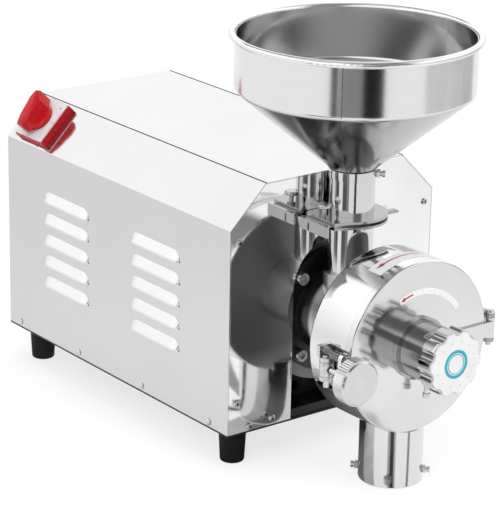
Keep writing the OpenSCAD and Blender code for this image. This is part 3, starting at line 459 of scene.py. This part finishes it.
WELD = 1e-6                 # points closer than this are one point
BOX_FACES = [(0, 1, 3, 2), (4, 6, 7, 5), (0, 4, 5, 1), (2, 3, 7, 6), (0, 2, 6, 4), (1, 5, 7, 3)]


def placed(name, mesh, material):
    """A new object in the scene with one material."""
    obj = bpy.data.objects.new(name, mesh)
    bpy.context.scene.collection.objects.link(obj)
    mesh.materials.append(material)
    return obj


def mesh_object(name, verts, faces, material):
    mesh = bpy.data.meshes.new(name)
    mesh.from_pydata([tuple(v) for v in verts], [], faces)
    mesh.update()
    return placed(name, mesh, material)


def riding(name, bm, material, body):
    """Makes a piece of a finished bmesh and lets it ride on a body."""
    bmesh.ops.recalc_face_normals(bm, faces=bm.faces)
    mesh = bpy.data.meshes.new(name)
    bm.to_mesh(mesh)
    bm.free()
    obj = placed(name, mesh, material)
    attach(obj, body)
    return obj


def shell(name, parts, material, body):
    """One piece from a list of closed (vertices, faces), riding on a body."""
    bm = bmesh.new()
    for verts, faces in parts:
        made = [bm.verts.new(v) for v in verts]
        for face in faces:
            bm.faces.new([made[i] for i in face])
    bmesh.ops.remove_doubles(bm, verts=bm.verts, dist=WELD)
    bmesh.ops.dissolve_degenerate(bm, edges=bm.edges, dist=WELD)
    return riding(name, bm, material, body)


def copied(name, node, body, change):
    """A piece that takes the place of a CAD node: its mesh, remade by change(bm)."""
    bm = bmesh.new()
    bm.from_mesh(NODES[node].data)
    bmesh.ops.remove_doubles(bm, verts=bm.verts, dist=WELD)
    change(bm)
    obj = riding(name, bm, NODES[node].data.materials[0], body)
    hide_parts(node)


def cuboid(low, high):
    """Vertices and faces of a box, for one mark among many in a piece."""
    return [(x, y, z) for x in (low[0], high[0]) for y in (low[1], high[1])
            for z in (low[2], high[2])], BOX_FACES


def span(start, stop, count):
    """Evenly spaced values from start to stop, with count steps between them."""
    return [start + (stop - start) * i / count for i in range(count + 1)]


def ribbon(place, rows, low, high):
    """Thin closed ribbon: rows of (u, v0, v1) on the surface place(u, v, lift)."""
    verts = [place(u, v, lift) for u, v0, v1 in rows for v in (v0, v1) for lift in (low, high)]
    faces = []
    end = 4 * (len(rows) - 1)
    for i in range(0, end, 4):
        faces += [(i + 1, i + 5, i + 7, i + 3), (i, i + 2, i + 6, i + 4),
                  (i, i + 4, i + 5, i + 1), (i + 2, i + 3, i + 7, i + 6)]
    if (Vector(verts[0]) - Vector(verts[end])).length > WELD:
        faces += [(0, 1, 3, 2), (end, end + 2, end + 3, end + 1)]
    return verts, faces


# ---- Printed marks ---------------------------------------------------------

LABEL = (-0.0001, 0.0004)   # a label's lower and upper side, counted out of the metal
INK = (0.0003, 0.00055)     # an arrow printed on a label
CAP_INK = (-0.0001, 0.0003)
CAP_DOT = (-0.0001, 0.0002)
STRIP_HALF = 0.0095         # half the width of the drum's strip
LID_STRIP = (0.0565, 0.063)     # radii of the lid's strip
DOT_RADIUS = 0.0238         # circle of the cap's dots
DOT_ROWS = ((-1.2, 0.0002), (-0.6, 0.00045), (0.6, 0.00045), (1.2, 0.0002))


def on_drum(angle, y, lift):
    """Point on the drum; the angle is counted from the top towards -X."""
    a = math.radians(angle)
    return (-(DRUM_R + lift) * math.sin(a), y, SHAFT_Z + (DRUM_R + lift) * math.cos(a))


def on_face(plane_y):
    """Places on a flat face square to the shaft, by angle and radius round it."""
    def place(angle, radius, lift):
        a = math.radians(angle)
        return (-radius * math.sin(a), plane_y - lift, SHAFT_Z + radius * math.cos(a))
    return place


def arrow_rows(tail, neck, tip, middle_v, thin, thick, head):
    """Rows of a curved arrow whose shaft widens from thin to thick before its head."""
    rows = []
    for u in span(tail, neck, 14):
        half = thin + (thick - thin) * (u - tail) / (neck - tail)
        rows.append((u, middle_v - half, middle_v + half))
    return rows + [(neck, middle_v - head, middle_v + head), (tip, middle_v, middle_v)]


strip_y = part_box("drum")[0].y + 0.0165
strip = [(a, strip_y - STRIP_HALF, strip_y + STRIP_HALF) for a in span(27, -34, 40)]
arrow = arrow_rows(-12, 18, 24, strip_y + 0.002, 0.0003, 0.0011, 0.0028)
shell("drum_direction_strip", [ribbon(on_drum, strip, *LABEL)], PALE_FOIL, "cabinet")
shell("drum_direction_arrow", [ribbon(on_drum, arrow, *INK)], RED_INK, "cabinet")

lid_face = on_face(LID_Y)
strip = [(a, *LID_STRIP) for a in span(27, -57, 60)]
arrow = arrow_rows(10, 20.5, 26, 0.0598, 0.0008, 0.0009, 0.0024)
shell("lid_direction_strip", [ribbon(lid_face, strip, *LABEL)], PALE_FOIL, "lid_assembly")
shell("lid_direction_arrow", [ribbon(lid_face, arrow, *INK)], RED_INK, "lid_assembly")

cap_face = on_face(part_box("knob_cap")[0].y)
for name, inner, outer in (("cap_ring", 0.0118, 0.015), ("cap_inner_ring", 0.0098, 0.0106)):
    ring = [(a, inner, outer) for a in span(0, 360, 72)]
    shell(name, [ribbon(cap_face, ring, *CAP_INK)], CYAN_INK, "adjuster")
shell("cap_dots", [ribbon(cap_face, [(a + turn, DOT_RADIUS - half, DOT_RADIUS + half)
                                     for turn, half in DOT_ROWS], *CAP_DOT)
                   for a in range(15, 375, 30)], GREY_INK, "adjuster")

TICKS = 7                   # on the gate's slide; every fourth one is long
TICK_STEP = 0.0035
TICK_HALF = 0.0003
TICK_PROUD = 0.00005
LONG_TICK, SHORT_TICK = 0.006, 0.0035

slide_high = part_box("gate_slide")[1]
tick_y = middle("gate_slide").y - 0.0042
ticks = []
for i in range(TICKS):
    x = slide_high.x - 0.002 - i * TICK_STEP
    length = SHORT_TICK if i % 4 else LONG_TICK
    ticks.append(cuboid((x - TICK_HALF, tick_y, slide_high.z - TICK_PROUD),
                        (x + TICK_HALF, tick_y + length, slide_high.z + TICK_PROUD)))
shell("gate_scale", ticks, DARK_INK, "slide_gate")

SEAM_HALF = 0.0009          # half the width of the dark strip that paints the shadow in the gap along the roof panel's sides

# painted shadow: dark strips along the roof panel's sides, where there is only a gap
seam_low, seam_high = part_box("top_panel")
seam_shadows = []
for side in (-1, 1):
    seam_x = side * (seam_high.x + 0.0001)
    seam_shadows.append(cuboid((seam_x - SEAM_HALF, seam_low.y + 0.0002, seam_high.z - 0.0008),
                        (seam_x + SEAM_HALF, seam_high.y - 0.0002, seam_high.z + 0.00015)))
shell("roof_seam_shadows", seam_shadows, SEAM_SHADOW_PAINT, "cabinet")


# ---- The switch, on the left panel's slanted face --------------------------

BEVEL_OUT = Vector((-1, 0, 1)).normalized()
BEVEL_UP = Vector((1, 0, 1)).normalized()
RIM_THICK = 0.0085          # thickness of the switch's ribbed rim as the photo shows it
RIM_HALF = 0.027
RIM_RIBS = 19               # ribs along each side of the rim
RIB_DEPTH = 0.0005
BOX_HALF = 0.019            # the narrower box that the rim stands on
BOX_CORNER = 0.004
SWITCH_DROP = 0.0032        # how much lower than the CAD's the plate and rim sit
MARK_LIFT = (-0.0001, 0.0002)
SWITCH_MARKS = (            # (along, up, half length along, half length up)
    (0.0, 0.026, 0.0004, 0.0022), (0.0, -0.026, 0.0004, 0.0022),
    (0.0235, 0.0, 0.0022, 0.0004), (-0.0235, 0.0, 0.0022, 0.0004),
    (-0.0195, 0.0195, 0.0012, 0.0012), (-0.0195, -0.0195, 0.0012, 0.0004))


def out_of_bevel(node):
    """Lowest and highest point of a node, counted out of the slanted face."""
    values = [v.co.dot(BEVEL_OUT) for v in NODES[node].data.vertices]
    return min(values), max(values)


plate_mid = middle("switch_plate")
plate_low, plate_top = out_of_bevel("switch_plate")
plate_at = plate_mid + BEVEL_OUT * (plate_top - SWITCH_DROP - plate_mid.dot(BEVEL_OUT))


def on_plate(up, along, out):
    """Point over the lowered plate: up the slope, along the cabinet and out of the plate."""
    return plate_at + BEVEL_UP * up + Vector((0, along, 0)) + BEVEL_OUT * out


def lower(bm):
    """Moves a mesh into the slanted face by the switch's drop."""
    for v in bm.verts:
        v.co -= BEVEL_OUT * SWITCH_DROP


def loft(rings):
    """Closed solid through rings of (height, tilt, outline of (up, along)) over the plate;
    a ring stands higher up the slope by its tilt."""
    verts, faces = [], []
    for height, tilt, outline in rings:
        verts += [on_plate(up, along, height + tilt * up) for up, along in outline]
    count = len(rings[0][2])
    for k in range(len(rings) - 1):
        for i in range(count):
            a, b = k * count + i, k * count + (i + 1) % count
            faces.append((a, b, b + count, a + count))
    return verts, faces + [tuple(range(count)), tuple(range(len(verts) - count, len(verts)))]


def dial(radius):
    """Round outline in steps of six degrees."""
    angles = [math.radians(a) for a in range(0, 360, 6)]
    return [(radius * math.cos(a), radius * math.sin(a)) for a in angles]


def cut_square(half):
    """Square outline with cut corners."""
    points = []
    for c, d in ((1, 1), (-1, 1), (-1, -1), (1, -1)):
        pair = [(c * half, d * (half - BOX_CORNER)), (c * (half - BOX_CORNER), d * half)]
        points += pair if c * d > 0 else pair[::-1]
    return points


def grip(length, width, tip, tail):
    """Outline of the lever: pointed at the upper end."""
    return [(length, tip), (length * 0.55, width), (-length * 0.6, width), (-length, tail),
            (-length, -tail), (-length * 0.6, -width), (length * 0.55, -width), (length, -tip)]


def ribbed(half, depth):
    """Square outline with a fine row of ribs along each side."""
    points = []
    for c, d in ((1, 0), (0, 1), (-1, 0), (0, -1)):
        for i in range(2 * RIM_RIBS):
            along = half * (0.94 - 1.88 * i / (2 * RIM_RIBS))
            out = half - (depth if i % 2 else 0)
            points.append((c * out + d * along, d * out - c * along))
    return points


copied("switch_plate_low", "switch_plate", "cabinet", lower)
marks = []
for along, up, half_along, half_up in SWITCH_MARKS:
    verts, faces = cuboid((along - half_along, up - half_up, MARK_LIFT[0]),
                          (along + half_along, up + half_up, MARK_LIFT[1]))
    marks.append(([on_plate(v[1], v[0], v[2]) for v in verts], faces))
shell("switch_marks", marks, GREY_INK, "cabinet")

rim_top = plate_low + 0.0001 - plate_top
rim_low = rim_top - RIM_THICK
box_low = out_of_bevel("switch_frame")[0] - plate_top + SWITCH_DROP
rim = shell("switch_rim", [
    loft([(rim_low, 0, ribbed(RIM_HALF - 0.001, 0.0)),
          (rim_low + 0.001, 0, ribbed(RIM_HALF, RIB_DEPTH)),
          (rim_top - 0.0012, 0, ribbed(RIM_HALF, RIB_DEPTH)),
          (rim_top, 0, ribbed(RIM_HALF - 0.0004, 0.0))]),
    loft([(box_low, 0, cut_square(BOX_HALF)), (rim_low + 0.0002, 0, cut_square(BOX_HALF))])],
    NODES["switch_frame"].data.materials[0], "cabinet")
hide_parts("switch_frame")

lever = shell("switch_lever", [
    loft([(0.0003, 0, dial(0.0165)), (0.0058, 0, dial(0.0165)), (0.0068, 0, dial(0.0155))]),
    loft([(0.0055, 0, grip(0.0225, 0.0095, 0.0016, 0.0055)),
          (0.0205, 0.1, grip(0.0225, 0.0075, 0.001, 0.0045)),
          (0.0245, 0.16, grip(0.0195, 0.0042, 0.0006, 0.0025))])],
    NODES["switch_knob"].data.materials[0], "switch_handle")
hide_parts("switch_knob")


# ---- Side panels with rounded louvre hoods ---------------------------------

HOOD_KEEP = 0.97            # share of the CAD louvre's length that the rounded hood takes
HOOD_END = 0.012            # length over which a hood's end rounds down to the sheet
HOOD_SHEET = 0.0011
HOOD_HEIGHT = 0.012
HOOD_PROUD = 0.0001         # keeps the flat corners off the sheet's own plane
HOOD_CORNER = 0.6           # share of the height that stays flat at a hood's very end
HOOD_SLOPE = 0.85           # share of the height over which the hood reaches its full depth
HOOD_COLS, HOOD_ROWS = 61, 25
HOOD_CREASE = math.radians(12)
END_GAP = 0.02              # louvre ends further apart than this along the cabinet differ
ROW_GAP = 0.008             # louvres further apart than this in height differ
STANDING = 0.001            # points further out than this belong to a louvre
CUT_OUT = 0.00002           # the CAD's louvres are cut off this far outside the sheet
TICK_LONG = 0.0014          # half the length of the painted shade at a slit end beside a hood


def groups(values, gap):
    """Lowest and highest of each run of values with no gap in it."""
    runs = []
    for value in sorted(values):
        if runs and value - runs[-1][1] < gap:
            runs[-1][1] = value
        else:
            runs.append([value, value])
    return runs


def outer_plane(mesh, side):
    """X of the panel's outer face: where most of its outward area lies."""
    area = {}
    for poly in mesh.polygons:
        if side * poly.normal.x > 0.99:
            x = round(poly.center.x, 4)
            area[x] = area.get(x, 0) + poly.area
    return max(area, key=area.get)


def hood(plane, side, y_mid, half, z_low, depth):
    """Closed shell of one pressed hood with rounded ends, open along its lower edge."""
    verts = []
    for skin in (0.0, HOOD_SHEET):
        for i in range(HOOD_COLS):
            y = half * math.sin(math.pi * (i / (HOOD_COLS - 1) - 0.5))
            past = max(0.0, abs(y) - (half - HOOD_END)) / HOOD_END
            keep = math.sqrt(max(0.0, 1 - past * past))
            flat = HOOD_CORNER * (1 - keep)
            for j in range(HOOD_ROWS):
                down = j / (HOOD_ROWS - 1)
                slope = min(1.0, max(0.0, down - flat) / (1 - flat) / HOOD_SLOPE)
                out = HOOD_PROUD + depth * keep * slope
                verts.append((plane + side * (out - skin), y_mid + y,
                              z_low + HOOD_HEIGHT * (1 - down)))

    def at(layer, i, j):
        return (layer * HOOD_COLS + i) * HOOD_ROWS + j
    faces = []
    for i in range(HOOD_COLS - 1):
        for j in range(HOOD_ROWS - 1):
            for layer in (0, 1):
                faces.append((at(layer, i, j), at(layer, i + 1, j),
                              at(layer, i + 1, j + 1), at(layer, i, j + 1)))
        for j in (0, HOOD_ROWS - 1):
            faces.append((at(0, i, j), at(0, i + 1, j), at(1, i + 1, j), at(1, i, j)))
    for j in range(HOOD_ROWS - 1):
        for i in (0, HOOD_COLS - 1):
            faces.append((at(0, i, j), at(0, i, j + 1), at(1, i, j + 1), at(1, i, j)))
    return verts, faces


def side_sheet(node, side):
    """A side panel with its louvres pressed out in rounded hoods, not in the CAD's square ones."""
    mesh = NODES[node].data
    plane = outer_plane(mesh, side)
    standing = [v.co.copy() for v in mesh.vertices if side * (v.co.x - plane) > STANDING]
    depth = max(side * (c.x - plane) for c in standing)
    ends = groups([c.y for c in standing], END_GAP)
    hoods = []
    for (y_low, _), (_, y_high) in zip(ends[::2], ends[1::2]):
        for z_low, _ in groups([c.z for c in standing if y_low <= c.y <= y_high], ROW_GAP):
            hoods.append(((y_low + y_high) / 2, (y_high - y_low) / 2 * HOOD_KEEP, z_low))

    def cut_louvres(bm):
        bmesh.ops.bisect_plane(bm, geom=bm.verts[:] + bm.edges[:] + bm.faces[:], dist=WELD,
                               clear_outer=True, plane_co=(plane + side * CUT_OUT, 0, 0),
                               plane_no=(side, 0, 0))
        rims = [e for e in bm.edges if e.is_boundary]
        bmesh.ops.triangle_fill(bm, use_beauty=True, edges=rims)
        bmesh.ops.dissolve_degenerate(bm, dist=WELD, edges=bm.edges)

    copied(node + "_sheet", node, "cabinet", cut_louvres)
    made = shell(node + "_hoods", [hood(plane, side, y_mid, half, z_low, depth)
                                   for y_mid, half, z_low in hoods], HOOD_LIT_STEEL, "cabinet")
    made.data.materials.append(mesh.materials[0])
    flat = HOOD_PROUD + 0.00005
    for poly in made.data.polygons:
        if all(side * (made.data.vertices[i].co.x - plane) < flat for i in poly.vertices):
            poly.material_index = 1
    made.data.shade_smooth()
    made.data.set_sharp_from_angle(angle=HOOD_CREASE)
    # painted shade: dark boxes at both ends of each hood's slit, for the shade inside the opening
    slit_shades = [cuboid((plane - 0.0004, y_mid + end * half - TICK_LONG, z_low - 0.0003),
                    (plane + 0.0004, y_mid + end * half + TICK_LONG, z_low + 0.0006))
             for y_mid, half, z_low in hoods for end in (-1, 1)]
    shell(node + "_slit_end_shades", slit_shades, RECESS_SHADE, "cabinet")


side_sheet("left_side_panel", -1)
side_sheet("right_side_panel", 1)


# ---- Panel screws and the hopper's weld ------------------------------------

CROSS_REACH = 0.0021        # half the length of a cross recess's arms
CROSS_HALF = 0.00045        # half their width
CROSS_DEPTHS = (-0.0006, 0.00012)


def islands(node):
    """Boxes of the separate solids inside one CAD node, from its mesh."""
    bm = bmesh.new()
    bm.from_mesh(NODES[node].data)
    bmesh.ops.remove_doubles(bm, verts=bm.verts, dist=1e-5)
    todo = set(bm.verts)
    boxes = []
    while todo:
        stack = [todo.pop()]
        group = list(stack)
        while stack:
            for edge in stack.pop().link_edges:
                for other in edge.verts:
                    if other in todo:
                        todo.remove(other)
                        stack.append(other)
                        group.append(other)
        low = Vector([min(v.co[i] for v in group) for i in range(3)])
        high = Vector([max(v.co[i] for v in group) for i in range(3)])
        boxes.append((low, high))
    bm.free()
    return sorted(boxes, key=lambda box: tuple(round(c, 5) for c in box[0]))


def cross(centre, outward):
    """A cross recess on the head of a level screw whose top is at centre, drawn as dark boxes:
    painted shade.
    """
    out = Vector(outward)
    upright = Vector((0, 0, 1))
    level = out.cross(upright)
    parts = []
    for u, v in ((upright, level), (level, upright)):
        verts = [Vector(centre) + u * (su * CROSS_REACH) + v * (sv * CROSS_HALF) + out * depth
                 for su in (-1, 1) for sv in (-1, 1) for depth in CROSS_DEPTHS]
        parts.append((verts, BOX_FACES))
    return parts


# painted shade: the cross recesses on the panel screws are dark boxes standing a little out of the
# heads
recess_shades = []
cabinet_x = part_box("left_side_panel")[0].x
for low, high in islands("panel_screws"):
    at = (low + high) / 2
    if low.x < cabinet_x - 0.001:
        recess_shades += cross((low.x, at.y, at.z), (-1, 0, 0))
    elif high.x > -cabinet_x + 0.001:
        recess_shades += cross((high.x, at.y, at.z), (1, 0, 0))
    elif low.y < FRONT_Y - 0.001:
        recess_shades += cross((at.x, low.y, at.z), (0, -1, 0))
    else:
        recess_shades += cross((at.x, high.y, at.z), (0, 1, 0))
shell("panel_screw_recess_shades", recess_shades, RECESS_SHADE, "cabinet")

WELD_ANGLE = math.radians(-46)
WELD_HALF = 0.00055         # half the weld's width
WELD_LIFT = (-0.0002, 0.0002)
RIM_OVERHANG = 0.0063       # the hopper's rolled rim reaches this far past its wall

hopper_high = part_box("hopper")[1]
wall_r = hopper_high.x - RIM_OVERHANG


def on_wall(aside, z, lift):
    """Point on the hopper's wall, aside from the weld's middle."""
    a = WELD_ANGLE + aside / wall_r
    return (TUBE.x + (wall_r + lift) * math.sin(a), TUBE.y - (wall_r + lift) * math.cos(a), z)


weld = [(aside, CONE_TOP_Z + 0.001, hopper_high.z - 0.008) for aside in (-WELD_HALF, 0, WELD_HALF)]
shell("hopper_weld", [ribbon(on_wall, weld, *WELD_LIFT)],
      bright_screw("weld_steel", 0.35), "cabinet")


# ---- Floor -----------------------------------------------------------------

FLOOR_HALF = 6.0
FLOOR_MIDDLE = (0, 0.15, 0)
FLOOR_NEAR, FLOOR_FAR = 0.45, 1.0       # radii between which the floor turns plain white
FLOOR_GREY = 0.34           # what the lamps light up near the object
FLOOR_GLOW = 0.74           # white added to that, so that only the shadow is darker
FLOOR_BOUNCE = 0.75         # the floor's colour for light bounced on to the object


def seen_directly(tree):
    """1 for the camera, reflections and glass, 0 for the light bounced on to the object."""
    paths = tree.nodes.new("ShaderNodeLightPath").outputs
    seen = math_node(tree, "MAXIMUM", paths["Is Camera Ray"], paths["Is Glossy Ray"])
    return math_node(tree, "MAXIMUM", seen, paths["Is Transmission Ray"])


def floor_material():
    """White to the camera and in reflections, with the object's soft shadow kept."""
    m = Mat("floor_white", grey(FLOOR_GREY), 0.0, 0.8, Specular_IOR_Level=0.0)
    radius = xyz(m.tree, m.turned("Z", FLOOR_MIDDLE, 1.0, 0.0))["X"]
    fade = m.ramp(radius, 0, 1, FLOOR_NEAR, FLOOR_FAR)
    seen = seen_directly(m.tree)
    near = m.blend(fade, grey(FLOOR_GREY), grey(0.0))
    m.set("Base Color", mixed(m.tree, "RGBA", seen, (*grey(FLOOR_BOUNCE), 1), near))
    m.set("Emission Color", (1, 1, 1, 1))
    glow = m.ramp(fade, FLOOR_GLOW, 1.0, 0, 1)
    m.set("Emission Strength", math_node(m.tree, "MULTIPLY", glow, seen))
    return m.mat


corners = ((-1, -1), (1, -1), (1, 1), (-1, 1))
floor = mesh_object("floor", [(x * FLOOR_HALF, y * FLOOR_HALF, BENCH_Z) for x, y in corners],
                    [(0, 1, 2, 3)], floor_material())


# ---- Cards that the polished metal mirrors ---------------------------------

AZIMUTH = math.radians(37.72)           # the camera looks this far from +Y towards +X
CARD_STEPS = 6
CARD_R = 0.62
HOPPER_Z = (0.2, 0.42)      # heights of the cards that the hopper's wall mirrors, and so on
SIDE_Z = (0.2, 0.4)
TUBE_Z = (0.004, 0.15)
SPOUT_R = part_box("outlet_spout")[1].x
SPOUT_CARD_Z = BENCH_Z + 0.0012
SPOUT_CARD_R = SPOUT_R + 0.2


def card(name, axis, near, far, color):
    """Dark studio card, seen only in the metal: a strip between two rings round an upright axis
    at (x, y); each ring is (start, stop, radius, height), in degrees right of the camera's side."""
    verts = []
    for step in range(CARD_STEPS + 1):
        for start, stop, radius, z in (near, far):
            a = AZIMUTH - math.radians(start + (stop - start) * step / CARD_STEPS)
            verts.append((axis[0] - radius * math.sin(a), axis[1] - radius * math.cos(a), z))
    faces = [(i, i + 2, i + 3, i + 1) for i in range(0, 2 * CARD_STEPS, 2)]
    m = Mat(name + "_cloth", grey(color), 0.0, 0.9, Specular_IOR_Level=0.0)
    m.color(m.spots(30, 1.0), grey(color * 0.9), grey(min(1, color * 1.1)))
    obj = mesh_object(name, verts, faces, m.mat)
    obj.visible_camera = False
    obj.visible_diffuse = False
    obj.visible_transmission = False
    obj.visible_shadow = False


for name, start, stop, (low, high), tone in (
        ("right", 4, 22, HOPPER_Z, 0.012), ("middle", -16, 4, HOPPER_Z, 0.38),
        ("left", -23, -17, HOPPER_Z, 0.012), ("side_a", 60, 76, SIDE_Z, 0.95),
        ("side_b", 76, 92, SIDE_Z, 0.88), ("side_c", 92, 108, SIDE_Z, 0.8),
        ("side_d", 108, 130, SIDE_Z, 0.7), ("tube_dark", -48, -28, TUBE_Z, 0.14),
        ("tube_grey", -28, -16, TUBE_Z, 0.35), ("tube_line", 9, 20, TUBE_Z, 0.06)):
    card("hopper_card_" + name, HOPPER_AXIS[:2], (start, stop, CARD_R, low),
         (start, stop, CARD_R, high), tone)
for name, start, stop, tone in (
        ("middle", -6, 6, 0.06), ("beside_left", -14, -6, 0.45), ("beside_right", 6, 12, 0.5),
        ("left", -170, -108, 0.3), ("left_soft", -108, -62, 0.68), ("right", 53, 62, 0.35)):
    card("spout_card_" + name, SPOUT_AXIS[:2],
         (start / 2, stop / 2, SPOUT_R + 0.001, SPOUT_CARD_Z),
         (start, stop, SPOUT_CARD_R, SPOUT_CARD_Z), tone)


# ---- Lamps and world -------------------------------------------------------

def area_light(name, place, target, size, power):
    """A soft lamp that the metal doesn't mirror."""
    light = bpy.data.lights.new(name, "AREA")
    light.shape = "RECTANGLE"
    light.size, light.size_y = size
    light.energy = power
    obj = bpy.data.objects.new(name, light)
    bpy.context.scene.collection.objects.link(obj)
    obj.location = place
    obj.rotation_euler = (Vector(target) - Vector(place)).to_track_quat("-Z", "Y").to_euler()
    obj.visible_glossy = False


area_light("key_left", (-1.8, -0.9, 1.6), (0, 0.1, 0.15), (1.5, 1.5), 20)
area_light("fill_front", (0.9, -2.2, 1.2), (0, 0, 0.2), (1.6, 1.4), 24)
area_light("top", (0.1, 0.3, 2.5), (0, 0.1, 0.2), (2.4, 2.4), 28)

AMBIENT = 0.48              # strength of the world's light on the object

world = bpy.data.worlds.new("studio")
bpy.context.scene.world = world
world.use_nodes = True
WORLD = world.node_tree
background = WORLD.nodes["Background"]
background.inputs["Color"].default_value = (1, 1, 1, 1)
sky = xyz(WORLD, WORLD.nodes.new("ShaderNodeTexCoord").outputs["Generated"])


def off_plane(x):
    """How far a direction of the sky lies beside the upright plane at x."""
    return math_node(WORLD, "ABSOLUTE", math_node(WORLD, "SUBTRACT", sky["X"], x), 0.0)


# what the metal mirrors: brighter with height, and darker straight above
reflected = math_node(WORLD, "MULTIPLY", ranged(WORLD, sky["Z"], 1.05, 1.42, 0.02, 0.5),
                      ranged(WORLD, sky["Z"], 1.0, 0.5, 0.62, 0.88))
# a dark upright screen in front of the mill
screen = math_node(WORLD, "MAXIMUM", ranged(WORLD, sky["Y"], 0.25, 1.0, -0.45, -0.05),
                   ranged(WORLD, off_plane(-0.12), 0.25, 1.0, 0.25, 0.42))
reflected = math_node(WORLD, "MULTIPLY", reflected, screen)
# a dark patch high behind the mill, mirrored in the top of the drum
patch = math_node(WORLD, "MINIMUM", ranged(WORLD, off_plane(0.1), 1.0, 0.0, 0.2, 0.28),
                  ranged(WORLD, sky["Z"], 0.0, 1.0, 0.44, 0.5))
patch = math_node(WORLD, "MINIMUM", patch, ranged(WORLD, sky["Y"], 0.0, 1.0, 0.3, 0.5))
reflected = math_node(WORLD, "MULTIPLY", reflected, ranged(WORLD, patch, 1.0, 0.22, 0.0, 1.0))

world_paths = WORLD.nodes.new("ShaderNodeLightPath").outputs
strength = mixed(WORLD, "FLOAT", world_paths["Is Glossy Ray"], AMBIENT, reflected)
strength = mixed(WORLD, "FLOAT", world_paths["Is Camera Ray"], strength, 1.0)
feed(WORLD, background.inputs["Strength"], strength)


# ---- Camera ----------------------------------------------------------------

ELEVATION = math.radians(18.81)
ROLL = math.radians(1.07)
CAMERA_AT = Vector((-1.5507, FRONT_Y - 1.8629, BENCH_Z + 1.0406))
LENS_MM = 174.64

ahead = Vector((math.sin(AZIMUTH) * math.cos(ELEVATION), math.cos(AZIMUTH) * math.cos(ELEVATION),
                -math.sin(ELEVATION)))
right = Vector((math.cos(AZIMUTH), -math.sin(AZIMUTH), 0))
up = right.cross(ahead)
turned_right = right * math.cos(ROLL) + up * math.sin(ROLL)
turned_up = up * math.cos(ROLL) - right * math.sin(ROLL)
lens = bpy.data.cameras.new("camera")
lens.lens = LENS_MM
lens.sensor_width = 36
lens.clip_end = 50
camera = bpy.data.objects.new("camera", lens)
bpy.context.scene.collection.objects.link(camera)
camera.matrix_world = Matrix.Translation(CAMERA_AT) @ Matrix(
    (turned_right, turned_up, -ahead)).transposed().to_4x4()
bpy.context.scene.camera = camera
bpy.context.scene.view_settings.view_transform = "Standard"
